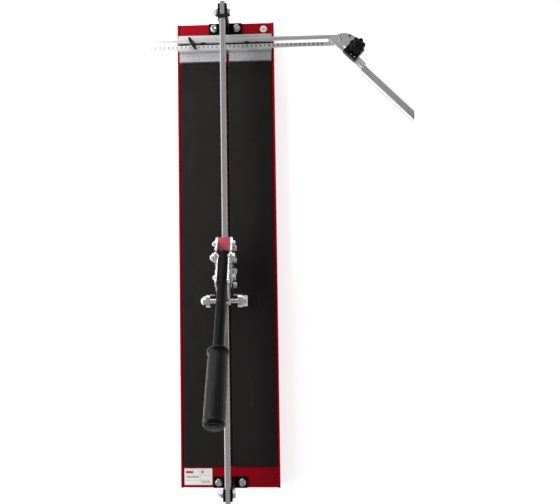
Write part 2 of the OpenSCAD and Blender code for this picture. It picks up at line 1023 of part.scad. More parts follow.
module cheek_rivets() {
    head_t = 2;
    head_d = 10;
    color(steel)
        lever_frame()
            for (along = RIVET_ALONG)
                translate([0, -along, 0]) {
                    rod_x(-cheek_out, cheek_out, cheek_rivet_d);
                    rod_x(-cheek_out - head_t, -cheek_out, head_d);
                    rod_x(cheek_out, cheek_out + head_t, head_d);
                }
}

module grip() {
    body_r = grip_d / 2;
    bore_r = lever_d / 2;
    color(black)
        lever_frame()
            translate([0, -grip_start, 0])
                rotate([90, 0, 0])
                    rotate_extrude()
                        polygon([
                            [bore_r, 0], [grip_collar_d / 2, 0],
                            [grip_collar_d / 2, 6], [body_r - 0.5, 9],
                            [body_r, grip_l * 0.5], [body_r + 0.5, grip_l - 6],
                            [body_r - 2.5, grip_l - 1.5], [body_r - 8, grip_l],
                            [0, grip_l], [0, grip_l - grip_end_t], [bore_r, grip_l - grip_end_t],
                        ]);
}

// ---- breaker ----

module breaker_rod() {
    color(steel)
        translate([0, rod_y, rod_z])
            rod_x(-breaker_out - 9, breaker_out + knurl_l, rod_d);
}

// An arm hangs from the rod, ends in a foot that points outwards and has a tab bent inwards
module breaker_arm(side) {
    arm_top = breaker_w / 2;
    tab_t = 4;
    tab_l = 26;
    color(steel)
        mirror([side < 0 ? 1 : 0, 0, 0]) {
            translate([breaker_in - breaker_tab_w, rod_y + arm_top - tab_t, rod_z - tab_l])
                cube([breaker_tab_w + bite, tab_t - 1.2, tab_l]);
            plate_x(breaker_in, breaker_out)
                difference() {
                    union() {
                        translate([rod_y, rod_z])
                            circle(arm_top);
                        polygon([
                            [rod_y - arm_top, rod_z], [rod_y + arm_top, rod_z],
                            [rod_y + foot_l / 2, foot_z],
                            [rod_y - foot_l / 2, foot_z],
                        ]);
                    }
                    translate([rod_y, rod_z])
                        circle(d = rod_d);
                }
            translate([breaker_out, rod_y - foot_l / 2, foot_z])
                cube([foot_out - breaker_out, foot_l, breaker_foot_t]);
        }
}

module breaker_arm_left() {
    breaker_arm(-1);
}

module breaker_arm_right() {
    breaker_arm(1);
}

// A rubber shoe on each foot: a thick sole under the foot and a thin cover over it
module breaker_pads() {
    cover_in = breaker_out + 0.5;
    cover_t = 2;
    color(black)
        for (side = [-1, 1])
            mirror([side < 0 ? 1 : 0, 0, 0])
                difference() {
                    union() {
                        translate([pad_in, rod_y - breaker_w / 2, pad_z])
                            cube([pad_out - pad_in, breaker_w, pad_t]);
                        translate([cover_in, rod_y - breaker_w / 2, foot_z - bite])
                            cube([pad_out - cover_in, breaker_w, bite + breaker_foot_t + cover_t]);
                    }
                    translate([cover_in - bite, rod_y - foot_l / 2, foot_z])
                        cube([foot_out - cover_in + bite, foot_l, breaker_foot_t]);
                }
}

module rod_cap_nut() {
    color(steel)
        translate([-breaker_out, rod_y, rod_z])
            difference() {
                union() {
                    hex_x(-7, 0, big_af);
                    rotate([0, -90, 0])
                        rotate_extrude()
                            polygon([[0, 6], [7.5, 6], [6.5, 8.5], [3.5, 10.8], [0, 11.5]]);
                }
                rod_x(-9, bite, rod_d);
            }
}

module rod_knurled_nut() {
    color(steel)
        translate([breaker_out, rod_y, rod_z])
            difference() {
                rod_x(0, knurl_l, knurl_d);
                rod_x(-bite, knurl_l + bite, rod_d);
            }
}

// ---- scoring wheel ----

module wheel_fork() {
    fork_l = 14;
    color(steel)
        translate([0, wheel_y, 0])
            difference() {
                union() {
                    translate([0, 0, fork_top])
                        cylinder(h = wheel_block_z + stem_bore_l - 2 - fork_top, d = stem_d);
                    translate([-fork_w / 2, -fork_l / 2, wheel_z - 5])
                        cube([fork_w, fork_l, fork_top - wheel_z + 5]);
                }
                translate([-fork_gap / 2, -fork_l, wheel_z - wheel_d])
                    cube([fork_gap, 2 * fork_l, 1.5 * wheel_d + 1]);
                translate([0, 0, wheel_z])
                    rod_x(-fork_w, fork_w, fork_pin_d);
            }
}

module fork_pin() {
    color(steel)
        translate([0, wheel_y, wheel_z])
            rod_x(-fork_w / 2 - 0.5, fork_w / 2 + 0.5, fork_pin_d);
}

module scoring_wheel() {
    wheel_r = wheel_d / 2;
    bore_r = fork_pin_d / 2 + run_clearance;
    color("slategray")
        translate([0, wheel_y, wheel_z])
            rotate([0, 90, 0])
                rotate_extrude()
                    polygon([
                        [bore_r, -wheel_t / 2], [wheel_r - 2, -wheel_t / 2],
                        [wheel_r, 0], [wheel_r - 2, wheel_t / 2], [bore_r, wheel_t / 2],
                    ]);
}

tray();
spine();
mat_left();
mat_right();
breaking_rib();
corner_feet();
middle_foot();
near_post();
far_post();
post_screws();
rail();
rail_bolts();
rail_nuts();
rail_bumper();
stop_left();
stop_right();
guide_channel();
guide_shoes();
limit_pin();
clamp_stud();
label_plate();
round_badge();
scale_bar();
protractor_plate();
plate_rivets();
knob_stud();
clamp_wing();
clamp_washer();
arm_bracket();
angle_arm();
clamp_block();
arm_rivets();
star_knob();
side_plate_left();
side_plate_right();
slide_block();
carriage_bolts();
carriage_nuts();
pivot_bolt();
pivot_nut();
wheel_block();
stem_screw();
front_roller();
rear_roller();
top_roller();
lever_tube();
cheek_left();
cheek_right();
cheek_rivets();
grip();
breaker_rod();
breaker_arm_left();
breaker_arm_right();
breaker_pads();
rod_cap_nut();
rod_knurled_nut();
wheel_fork();
fork_pin();
scoring_wheel();
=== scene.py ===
"""Manual tile cutter: red steel base, rubber mats, chromed rail, lever carriage and angle gauge."""

import json
import math
import random

import bmesh
import bpy
import numpy as np
from mathutils import Matrix, Vector


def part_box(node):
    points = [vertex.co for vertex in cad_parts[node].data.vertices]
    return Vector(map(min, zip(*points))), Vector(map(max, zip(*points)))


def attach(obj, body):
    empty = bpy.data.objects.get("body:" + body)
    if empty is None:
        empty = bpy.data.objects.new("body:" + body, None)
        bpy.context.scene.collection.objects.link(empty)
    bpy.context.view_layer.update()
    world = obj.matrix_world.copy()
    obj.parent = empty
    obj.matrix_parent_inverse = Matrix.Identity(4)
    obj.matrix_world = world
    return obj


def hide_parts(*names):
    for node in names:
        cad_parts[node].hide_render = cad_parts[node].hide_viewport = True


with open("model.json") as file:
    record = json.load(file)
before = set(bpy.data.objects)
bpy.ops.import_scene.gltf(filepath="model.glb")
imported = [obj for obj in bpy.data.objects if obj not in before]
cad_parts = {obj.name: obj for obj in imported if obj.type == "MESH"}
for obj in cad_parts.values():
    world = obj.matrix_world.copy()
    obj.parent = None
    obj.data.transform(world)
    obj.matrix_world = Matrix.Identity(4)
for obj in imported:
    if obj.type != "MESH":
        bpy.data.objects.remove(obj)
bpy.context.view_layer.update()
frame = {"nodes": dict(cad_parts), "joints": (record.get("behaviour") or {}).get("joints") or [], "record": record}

bl_info = {
    "name": "Tile cutter",
    "version": (1, 0, 0),
    "blender": (4, 5, 0),
    "location": "3D View > Sidebar > Tile cutter",
    "description": "Builds the pieces, finishes and studio of a manual tile cutter",
    "category": "Add Mesh",
}

RECORD = frame["record"]
BODY_OF = {n: body for body, nodes in RECORD["behaviour"]["bodies"].items() for n in nodes}
JOINT = {joint["name"]: joint for joint in frame["joints"]}
MM = 0.001
PRINT_LIFT = 0.04 * MM
PRINT_T = 0.08 * MM
M8_RADIUS, M8_BORE = 4 * MM, 4.02 * MM
M10_RADIUS, M10_BORE = 5 * MM, 5.02 * MM
UP, ALONG_X, ALONG_Y = Vector((0, 0, 1)), Vector((1, 0, 0)), Vector((0, 1, 0))


# ---- sizes and colours ----


def colour(name, description, default):
    return bpy.props.FloatVectorProperty(
        name=name, description=description, subtype="COLOR", size=3, default=default,
    )


def length(name, description, default, low=0.0):
    return bpy.props.FloatProperty(name=name, description=description, default=default, min=low, unit="LENGTH")


def number(name, description, default, low=0.0, unit="NONE"):
    return bpy.props.FloatProperty(name=name, description=description, default=default, min=low, unit=unit)


class CutterColours(bpy.types.PropertyGroup):
    """Colours of the cutter's finishes."""

    red: colour("Red", "Powder coat of the base", (0.34, 0.0012, 0.009))
    mats: colour("Mats", "Rubber of the mats", (0.0165, 0.0140, 0.0140))
    black: colour("Black", "Black paint and plastic", (0.0036, 0.0028, 0.0032))
    block: colour("Slide block", "Red nylon of the slide block", (0.5, 0.085, 0.1))
    ink: colour("Ink", "Ink of the scale's marks", (0.018, 0.017, 0.02))


class CutterSizes(bpy.types.PropertyGroup):
    """Small sizes that the pieces share."""

    sheet_edge: length("Sheet edge", "Rounding along the edges of folded sheet", 0.7 * MM)
    plate_edge: length("Plate edge", "Rounding along the edges of cut plates", 0.45 * MM)
    mat_edge: length("Mat edge", "Rounding along the mats' upper edges", 1.1 * MM)
    thread_pitch: length("Thread pitch", "Pitch of the bolts' threads", 1.25 * MM, 0.5 * MM)
    rib_pitch: length("Rib pitch", "Pitch of the ribs on the tile stop", 1.6 * MM, 0.5 * MM)
    mark_pitch: length("Mark pitch", "Distance between the scale's numbered marks", 10 * MM, 2 * MM)


class CutterStudio(bpy.types.PropertyGroup):
    """Light and view of the studio."""

    key_power: number("Key", "Power of the key light", 10.0, unit="POWER")
    far_power: number("Far", "Power of the light beyond the far end", 5.0, unit="POWER")
    fill_power: number("Fill", "Power of the fill light", 2.5, unit="POWER")
    sky: number("Sky", "Brightness of the studio around the object", 0.29)
    lens: number("Lens", "Focal length", 38.87, 10.0, "CAMERA")


# ---- finishes ----

FINISHES = {}


class Finish:
    """A node material that is built up step by step around one Principled shader."""

    def __init__(self, name, colour, roughness, metallic=0.0, **sockets):
        self.material = bpy.data.materials.new(name)
        self.material.use_nodes = True
        self.tree = self.material.node_tree
        self.shader = self.tree.nodes["Principled BSDF"]
        self.colour = (*colour, 1.0)
        self.set("Base Color", self.colour)
        self.set("Roughness", roughness)
        self.set("Metallic", metallic)
        for socket, value in sockets.items():
            self.set(socket.replace("_", " "), value)
        self.place = self.add("ShaderNodeTexCoord").outputs["Object"]
        self.bumped = None
        FINISHES[name] = self.material

    def set(self, socket, value):
        self.shader.inputs[socket].default_value = value

    def add(self, kind, **values):
        node = self.tree.nodes.new(kind)
        for key, value in values.items():
            setattr(node, key, value)
        return node

    def link(self, a, b):
        self.tree.links.new(a, b)

    def noise(self, scale, detail=2.0, stretch=(1, 1, 1), turn=0.0):
        """Noise of about `scale` bumps per metre, stretched along an axis and turned about Z."""
        mapping = self.add("ShaderNodeMapping")
        mapping.inputs["Scale"].default_value = stretch
        mapping.inputs["Rotation"].default_value = (0, 0, turn)
        self.link(self.place, mapping.inputs["Vector"])
        noise = self.add("ShaderNodeTexNoise")
        noise.inputs["Scale"].default_value = scale
        noise.inputs["Detail"].default_value = detail
        self.link(mapping.outputs["Vector"], noise.inputs["Vector"])
        return noise.outputs["Fac"]

    def span(self, source, low, high, out_low=0.0, out_high=1.0):
        """Maps a value from low..high to out_low..out_high."""
        node = self.add("ShaderNodeMapRange")
        for socket, value in zip(("From Min", "From Max", "To Min", "To Max"), (low, high, out_low, out_high)):
            node.inputs[socket].default_value = value
        self.link(source, node.inputs["Value"])
        return node.outputs["Result"]

    def tint(self, factor, colour):
        """Mixes a colour over the base colour where factor is high."""
        mix = self.add("ShaderNodeMix", data_type="RGBA")
        base = self.shader.inputs["Base Color"]
        if base.is_linked:
            self.link(base.links[0].from_socket, mix.inputs["A"])
        else:
            mix.inputs["A"].default_value = self.colour
        mix.inputs["B"].default_value = (*colour, 1.0)
        self.link(factor, mix.inputs["Factor"])
        self.link(mix.outputs["Result"], base)

    def rough(self, source, low, high, out_low, out_high):
        """Roughness that follows a noise."""
        self.link(self.span(source, low, high, out_low, out_high), self.shader.inputs["Roughness"])

    def bump(self, height, distance, strength=1.0):
        """Adds a bump of that height in metres to the ones already there."""
        node = self.add("ShaderNodeBump")
        node.inputs["Distance"].default_value = distance
        node.inputs["Strength"].default_value = strength
        self.link(height, node.inputs["Height"])
        if self.bumped is not None:
            self.link(self.bumped, node.inputs["Normal"])
        self.bumped = node.outputs["Normal"]
        self.link(self.bumped, self.shader.inputs["Normal"])

    def edge(self, width, gain=3.0):
        """High on edges that are rounder than the width: where a coat wears first."""
        bevel = self.add("ShaderNodeBevel", samples=4)
        bevel.inputs["Radius"].default_value = width
        geometry = self.add("ShaderNodeNewGeometry")
        dot = self.add("ShaderNodeVectorMath", operation="DOT_PRODUCT")
        self.link(bevel.outputs["Normal"], dot.inputs[0])
        self.link(geometry.outputs["Normal"], dot.inputs[1])
        return self.span(dot.outputs["Value"], 1.0, 1.0 - 1.0 / gain)

    def times(self, a, b):
        node = self.add("ShaderNodeMath", operation="MULTIPLY")
        self.link(a, node.inputs[0])
        self.link(b, node.inputs[1])
        return node.outputs["Value"]


def red_powder_coat(name, colour):
    coat = Finish(name, colour, 0.34, Specular_IOR_Level=0.1)
    coat.tint(coat.span(coat.noise(9, 4), 0.42, 0.72, 0, 0.35), [c * 0.72 for c in colour])
    dust = coat.times(coat.span(coat.noise(60, 6), 0.56, 0.74), coat.span(coat.noise(7, 2), 0.45, 0.7))
    coat.tint(coat.span(dust, 0, 1, 0, 0.02), (0.55, 0.36, 0.34))
    worn = coat.times(coat.edge(1.2 * MM, 4.0), coat.span(coat.noise(140, 5), 0.5, 0.62))
    coat.tint(coat.span(worn, 0, 1, 0, 0.4), [c * 1.4 + 0.02 for c in colour])
    coat.rough(coat.noise(45, 5), 0.35, 0.7, 0.27, 0.46)
    coat.bump(coat.noise(900, 2), 0.05 * MM, 0.35)
    return coat.material


def mat_rubber(colour):
    rubber = Finish("mat_rubber", colour, 0.8, Specular_IOR_Level=0.1)
    rubber.tint(rubber.span(rubber.noise(5, 5), 0.4, 0.7, 0, 0.4), [c * 1.25 for c in colour])
    rubber.tint(rubber.span(rubber.noise(1500, 2), 0.5, 0.75, 0, 0.5), [c * 0.45 for c in colour])
    scuffs = rubber.times(
        rubber.span(rubber.noise(70, 6, (1, 0.12, 1)), 0.6, 0.75), rubber.span(rubber.noise(11, 3), 0.52, 0.66)
    )
    rubber.tint(rubber.span(scuffs, 0, 1, 0, 0.15), (0.07, 0.065, 0.062))
    rubber.rough(rubber.noise(30, 4), 0.35, 0.7, 0.66, 0.9)
    rubber.bump(rubber.noise(1500, 3), 0.12 * MM, 0.5)
    rubber.bump(rubber.noise(380, 2), 0.06 * MM, 0.3)
    return rubber.material


def black_powder_coat(colour):
    coat = Finish("black_powder_coat", colour, 0.34, Specular_IOR_Level=0.06)
    coat.tint(coat.span(coat.noise(40, 4), 0.4, 0.7, 0, 0.5), [c * 1.9 for c in colour])
    worn = coat.times(coat.edge(0.9 * MM, 4.0), coat.span(coat.noise(220, 5), 0.48, 0.6))
    coat.tint(coat.span(worn, 0, 1, 0, 0.65), (0.2, 0.19, 0.18))
    coat.rough(coat.noise(90, 4), 0.35, 0.7, 0.34, 0.55)
    coat.bump(coat.noise(1300, 2), 0.06 * MM, 0.5)
    return coat.material


def rail_chrome():
    chrome = Finish("rail_chrome", (0.85, 0.84, 0.85), 0.12, 1.0)
    chrome.tint(chrome.span(chrome.noise(420, 3, (1, 0.01, 1)), 0.45, 0.7, 0, 0.35), (0.6, 0.59, 0.61))
    chrome.tint(chrome.span(chrome.noise(14, 5), 0.5, 0.72, 0, 0.2), (0.62, 0.6, 0.57))
    chrome.rough(chrome.noise(260, 4, (1, 0.02, 1)), 0.3, 0.75, 0.1, 0.3)
    chrome.bump(chrome.noise(1600, 2, (1, 0.01, 1)), 0.01 * MM, 0.3)
    return chrome.material


def zinc_plating():
    zinc = Finish("zinc_plating", (0.84, 0.84, 0.85), 0.2, 1.0)
    cells = zinc.add("ShaderNodeTexVoronoi", feature="F1")
    cells.inputs["Scale"].default_value = 260
    zinc.link(zinc.place, cells.inputs["Vector"])
    zinc.tint(zinc.span(cells.outputs["Distance"], 0.2, 0.8, 0, 0.12), (0.66, 0.68, 0.74))
    zinc.tint(zinc.span(zinc.noise(35, 5), 0.5, 0.72, 0, 0.2), (0.8, 0.76, 0.7))
    zinc.rough(zinc.noise(120, 5), 0.32, 0.7, 0.14, 0.3)
    zinc.bump(zinc.noise(260, 2), 0.01 * MM, 0.25)
    return zinc.material


def drawn_aluminium(name, colour, turn, roughness, streak=0.35, metallic=1.0):
    """Anodised extrusion, with fine die lines along its length."""
    metal = Finish(name, colour, roughness, metallic)
    lines = metal.noise(900, 3, (0.012, 1, 1), turn)
    metal.tint(metal.span(lines, 0.4, 0.68, 0, streak), [c * 0.74 for c in colour])
    metal.tint(metal.span(metal.noise(30, 4), 0.5, 0.72, 0, 0.22), [c * 0.86 for c in colour])
    metal.rough(metal.noise(500, 3, (0.02, 1, 1), turn), 0.3, 0.75, roughness - 0.07, roughness + 0.1)
    metal.bump(lines, 0.02 * MM, 0.4)
    return metal.material


def brushed_plate(name, colour, roughness, metallic=1.0):
    """Flat plate, ground in short random strokes."""
    metal = Finish(name, colour, roughness, metallic)
    one = metal.noise(700, 4, (0.05, 1, 1), 0.6)
    two = metal.noise(700, 4, (0.06, 1, 1), -0.5)
    metal.tint(metal.span(one, 0.42, 0.7, 0, 0.45), [c * 0.6 for c in colour])
    metal.tint(metal.span(two, 0.45, 0.72, 0, 0.25), [c * 0.8 for c in colour])
    metal.rough(two, 0.3, 0.7, roughness - 0.06, roughness + 0.12)
    metal.bump(one, 0.015 * MM, 0.4)
    return metal.material


def serrated_aluminium(colour):
    metal = Finish("serrated_aluminium", colour, 0.5, 0.85)
    metal.tint(metal.span(metal.noise(220, 5), 0.45, 0.62, 0, 0.5), [c * 0.62 for c in colour])
    metal.tint(metal.span(metal.noise(45, 4), 0.45, 0.7, 0, 0.3), [c * 0.8 for c in colour])
    metal.rough(metal.noise(300, 4), 0.3, 0.7, 0.42, 0.62)
    metal.bump(metal.noise(1100, 3), 0.08 * MM, 0.5)
    return metal.material


def moulded_plastic(colour):
    plastic = Finish("moulded_plastic", colour, 0.34, Specular_IOR_Level=0.22)
    plastic.tint(plastic.span(plastic.noise(80, 4), 0.4, 0.7, 0, 0.5), [c * 1.7 for c in colour])
    plastic.rough(plastic.noise(200, 4), 0.3, 0.7, 0.32, 0.52)
    plastic.bump(plastic.noise(1700, 2), 0.05 * MM, 0.5)
    return plastic.material


def grip_rubber(colour):
    rubber = Finish("grip_rubber", [c * 1.3 for c in colour], 0.34, Specular_IOR_Level=0.14)
    rubber.tint(rubber.span(rubber.noise(50, 5), 0.42, 0.7, 0, 0.5), [c * 1.8 for c in colour])
    rubber.rough(rubber.noise(110, 5), 0.32, 0.7, 0.3, 0.5)
    rubber.bump(rubber.noise(1100, 3), 0.06 * MM, 0.45)
    rubber.bump(rubber.noise(240, 2), 0.08 * MM, 0.25)
    return rubber.material


def red_nylon(colour):
    nylon = Finish("red_nylon", colour, 0.5, Subsurface_Weight=0.08, Subsurface_Radius=(0.004, 0.001, 0.001))
    nylon.tint(nylon.span(nylon.noise(700, 4, (1, 0.04, 1)), 0.42, 0.68, 0, 0.4), [c * 1.35 for c in colour])
    nylon.tint(nylon.span(nylon.noise(90, 5), 0.52, 0.7, 0, 0.3), [c * 0.7 for c in colour])
    nylon.rough(nylon.noise(260, 4), 0.3, 0.7, 0.4, 0.62)
    nylon.bump(nylon.noise(900, 3, (1, 0.05, 1)), 0.04 * MM, 0.5)
    return nylon.material


def ground_steel():
    steel = Finish("ground_steel", (0.62, 0.62, 0.63), 0.2, 1.0)
    steel.tint(steel.span(steel.noise(900, 3, (0.03, 1, 1)), 0.42, 0.7, 0, 0.35), (0.42, 0.42, 0.43))
    steel.rough(steel.noise(300, 4), 0.3, 0.7, 0.14, 0.32)
    steel.bump(steel.noise(1500, 2, (0.04, 1, 1)), 0.01 * MM, 0.4)
    return steel.material


def black_oxide():
    steel = Finish("black_oxide", (0.035, 0.035, 0.037), 0.45, 0.6)
    steel.tint(steel.span(steel.noise(60, 5), 0.45, 0.7, 0, 0.5), (0.075, 0.07, 0.066))
    worn = steel.times(steel.edge(0.9 * MM, 4.0), steel.span(steel.noise(240, 5), 0.46, 0.6))
    steel.tint(steel.span(worn, 0, 1, 0, 0.6), (0.3, 0.29, 0.28))
    steel.rough(steel.noise(150, 4), 0.3, 0.7, 0.36, 0.58)
    steel.bump(steel.noise(800, 3), 0.04 * MM, 0.4)
    return steel.material


def printed_film(name, colour):
    film = Finish(name, colour, 0.38, Coat_Weight=0.2, Coat_Roughness=0.2)
    film.tint(film.span(film.noise(90, 4), 0.5, 0.72, 0, 0.2), [c * 0.86 for c in colour])
    film.rough(film.noise(200, 3), 0.3, 0.7, 0.32, 0.46)
    film.bump(film.noise(500, 2), 0.02 * MM, 0.3)
    return film.material


def make_finishes(colours, arm_turn):
    red_powder_coat("red_powder_coat", list(colours.red))
    # Red coat darkened to a fifth: painted shade for the groove under the rail, where the rail's shadow falls
    red_powder_coat("shaded_red_coat", [c * 0.22 for c in colours.red])
    mat_rubber(list(colours.mats))
    black_powder_coat(list(colours.black))
    rail_chrome()
    zinc_plating()
    drawn_aluminium("guide_aluminium", (0.86, 0.86, 0.87), 0.0, 0.4)
    drawn_aluminium("bar_aluminium", (0.84, 0.84, 0.85), 0.0, 0.42)
    drawn_aluminium("arm_aluminium", (0.5, 0.49, 0.5), arm_turn, 0.42, 0.5)
    # Near-white, smoother aluminium: painted highlight for the arm's upright face
    drawn_aluminium("highlight_aluminium", (0.98, 0.98, 0.98), arm_turn, 0.2, 0.06)
    brushed_plate("protractor_steel", (0.9, 0.88, 0.9), 0.4)
    # Near-white and barely metallic: painted highlight, so the arm's bracket shows white whatever it faces
    brushed_plate("white_highlight_plate", (1.0, 0.99, 1.0), 0.5, 0.1)
    serrated_aluminium((0.66, 0.66, 0.67))
    moulded_plastic(list(colours.black))
    grip_rubber(list(colours.black))
    red_nylon(list(colours.block))
    ground_steel()
    black_oxide()
    printed_film("white_film", (0.95, 0.94, 0.94))
    printed_film("scale_ink", list(colours.ink))
    printed_film("red_ink", (0.6, 0.02, 0.03))
    printed_film("grey_ink", (0.28, 0.33, 0.31))


# ---- shapes ----


def axes_at(origin, direction, side=None):
    """A frame at origin whose Z runs along direction."""
    z = Vector(direction).normalized()
    x = Vector(side) if side is not None else z.orthogonal()
    x = (x - z * x.dot(z)).normalized()
    y = z.cross(x)
    return Matrix((
        (x.x, y.x, z.x, origin[0]),
        (x.y, y.y, z.y, origin[1]),
        (x.z, y.z, z.z, origin[2]),
        (0, 0, 0, 1),
    ))


def ramp(value, start, width):
    """Rises from 0 at start to 1 at start + width."""
    return min(1.0, max(0.0, (value - start) / width))


def upright(low, high, z=0.0):
    """A frame in the middle of a box, whose Z runs up."""
    return axes_at(((low.x + high.x) / 2, (low.y + high.y) / 2, z), UP)


def crosswise(low, high):
    """A frame in the middle of a box, whose Z runs along X."""
    return axes_at((0, (low.y + high.y) / 2, (low.z + high.z) / 2), ALONG_X)


def turned(bm, place, stations, segments=40, outline=None, closed=False):
    """Adds a turned body.

    A station is (radius, distance along Z); outline(angle, radius, distance) may reshape it.
    """
    rings = []
    for radius, along in stations:
        if radius <= 0:
            rings.append([bm.verts.new(place @ Vector((0, 0, along)))])
            continue
        ring = []
        for i in range(segments):
            angle = math.tau * i / segments
            r = outline(angle, radius, along) if outline else radius
            ring.append(bm.verts.new(place @ Vector((r * math.cos(angle), r * math.sin(angle), along))))
        rings.append(ring)
    pairs = list(zip(rings, rings[1:]))
    if closed:
        pairs.append((rings[-1], rings[0]))
    for a, b in pairs:
        for i in range(segments):
            j = (i + 1) % segments
            corners = [a[i % len(a)], a[j % len(a)], b[j % len(b)], b[i % len(b)]]
            corners = list(dict.fromkeys(corners))
            if len(corners) > 2:
                bm.faces.new(corners)
    if not closed:
        for ring in (rings[0], rings[-1]):
            if len(ring) > 1:
                bm.faces.new(ring)


def block(bm, low, high, place=None):
    """Adds a box between two corners."""
    corners = [Vector((
        x, y, z,
    )) for z in (low[2], high[2]) for y in (low[1], high[1]) for x in (low[0], high[0])]
    v = [bm.verts.new(place @ c if place else c) for c in corners]
    for face in ((0, 2, 3, 1), (4, 5, 7, 6), (0, 1, 5, 4), (2, 6, 7, 3), (0, 4, 6, 2), (1, 3, 7, 5)):
        bm.faces.new([v[i] for i in face])


def extruded(bm, outline, start, end, place):
    """Adds a prism from start to end along the frame's Z; its outline is in the frame's X and Y."""
    low = [bm.verts.new(place @ Vector((x, y, start))) for x, y in outline]
    high = [bm.verts.new(place @ Vector((x, y, end))) for x, y in outline]
    bm.faces.new(list(reversed(low)))
    bm.faces.new(high)
    for i in range(len(outline)):
        j = (i + 1) % len(outline)
        bm.faces.new((low[i], low[j], high[j], high[i]))


def hexagon(across):
    """Distance from a hexagon's middle to its outline at an angle, cut off at a radius."""
    def reach(angle, radius, _along):
        turn = (angle + math.pi / 6) % (math.pi / 3) - math.pi / 6
        return min(across / 2 / math.cos(turn), radius)
    return reach


def hex_body(bm, place, across, start, end, bore=0.0, both=True):
    """Adds a hexagon with chamfered corners, with a bore where it is a nut."""
    wide, flat = 0.6 * across, 0.475 * across
    drop = (wide - flat) * math.tan(math.radians(30))
    sign = 1 if end > start else -1
    steps = [(flat + (wide - flat) * t, drop * t) for t in (0, 0.25, 0.5, 0.75, 1)]
    first = [(r, start + sign * d * 0.5) for r, d in steps] if both else [(wide, start)]
    last = [(r, end - sign * d) for r, d in reversed(steps)]
    if bore:
        mouth = 0.06 * across
        ring = [
            (bore, start + sign * mouth), (bore + mouth, start), *first, *last,
            (bore + mouth, end), (bore, end - sign * mouth),
        ]
        turned(bm, place, ring, 48, hexagon(across), closed=True)
    else:
        dish = 0.3 * across
        floor = end - sign * 0.25 * MM
        outline = [(0, start), *first, *last, (dish, end), (dish * 0.86, floor), (0, floor)]
        turned(bm, place, outline, 48, hexagon(across))


def lock_nut(bm, place, across, start, end, bore):
    """Adds a self-locking nut: a hexagon with a round collar that holds its insert."""
    shoulder = start + (end - start) * 0.7
    hex_body(bm, place, across, start, shoulder, bore)
    lip = end - (end - start) * 0.08
    turned(bm, place, [
        (bore, shoulder), (0.44 * across, shoulder), (0.43 * across, lip), (0.39 * across, end),
        (bore + 0.07 * across, end), (bore + 0.03 * across, lip), (bore, lip),
    ], 40, closed=True)


def threaded(bm, place, radius, start, end, pitch):
    """Adds a thread's end: fine ridges and a chamfered tip at end."""
    sign = 1 if end > start else -1
    depth = 0.6 * pitch
    tip = end - sign * 0.8 * MM
    count = max(2, int(abs(tip - start) / pitch))
    stations = [(0, start), (radius - depth, start)]
    for i in range(count):
        at = start + (tip - start) * i / count
        step = (tip - start) / count
        stations += [
            (radius - depth, at + 0.1 * step), (radius, at + 0.45 * step),
            (radius, at + 0.6 * step), (radius - depth, at + 0.95 * step),
        ]
    stations += [(radius - depth, tip), (radius - depth - 0.6 * MM, end), (0, end)]
    turned(bm, place, stations, 32)


def washer(bm, place, bore, radius, start, end):
    """Adds a flat washer with rounded edges."""
    rim = 0.3 * (end - start)
    turned(bm, place, [
        (bore, start), (radius - rim, start), (radius, start + rim), (radius, end - rim),
        (radius - rim, end), (bore + rim, end), (bore, end - rim),
    ], 44, closed=True)


def solids_of(node):
    """Lowest and highest corner of each separate solid of a CAD node, from the near end to the far end."""
    bm = bmesh.new()
    bm.from_mesh(frame["nodes"][node].data)
    bmesh.ops.remove_doubles(bm, verts=bm.verts, dist=1e-6)
    left, boxes = set(bm.verts), []
    while left:
        todo, seen = [left.pop()], []
        while todo:
            vert = todo.pop()
            seen.append(vert.co.copy())
            for edge in vert.link_edges:
                other = edge.other_vert(vert)
                if other in left:
                    left.remove(other)
                    todo.append(other)
        boxes.append((Vector(map(min, *seen)), Vector(map(max, *seen))))
    bm.free()
    return sorted(boxes, key=lambda b: (round(b[0].y, 4), round(b[0].x, 4), round(b[0].z, 4)))


def long_axis(node, outward_from):
    """Start, direction and length of a slim node, running away from a point."""
    co = np.array([v.co for v in frame["nodes"][node].data.vertices])
    middle = co.mean(0)
    direction = np.linalg.eigh(np.cov((co - middle).T))[1][:, -1]
    if np.dot(middle - np.array(outward_from), direction) < 0:
        direction = -direction
    along = (co - middle) @ direction
    across = (co - middle) - np.outer(along, direction)
    centre = middle + (across.max(0) + across.min(0)) / 2
    return Vector(centre + direction * along.min()), Vector(direction), float(np.ptp(along))


def stand_in(name, bm, node, finish, sharp=35):
    """Makes the mesh into a piece that stands for a CAD node and moves with its body."""
    obj = added_piece(name, bm, BODY_OF[node], finish, sharp)
    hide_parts(node)
    return obj


def added_piece(name, bm, body, finish, sharp=35):
    """Makes the mesh into a piece that moves with a body."""
    bmesh.ops.recalc_face_normals(bm, faces=bm.faces)
    mesh = bpy.data.meshes.new(name)
    bm.to_mesh(mesh)
    bm.free()
    mesh.shade_smooth()
    mesh.set_sharp_from_angle(angle=math.radians(sharp))
    mesh.materials.append(FINISHES[finish])
    obj = bpy.data.objects.new(name, mesh)
    bpy.context.scene.collection.objects.link(obj)
    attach(obj, body)
    return obj


def softened(name, node, width, finish, segments=2, least=25):
    """A copy of a CAD node with its sharp edges rounded, which stands for the node."""
    bm = bmesh.new()
    bm.from_mesh(frame["nodes"][node].data)
    bmesh.ops.remove_doubles(bm, verts=bm.verts, dist=1e-6)
    bmesh.ops.dissolve_limit(bm, angle_limit=math.radians(0.5), verts=bm.verts, edges=bm.edges)
    edges = [e for e in bm.edges if len(e.link_faces) == 2 and e.calc_face_angle(0) > math.radians(least)]
    bmesh.ops.bevel(
        bm, geom=edges, offset=width, segments=segments, profile=0.5, affect="EDGES",
        clamp_overlap=True,
    )
    obj = stand_in(name, bm, node, finish, 40)
    even = obj.modifiers.new("even_shading", "WEIGHTED_NORMAL")
    even.keep_sharp = True
    return obj


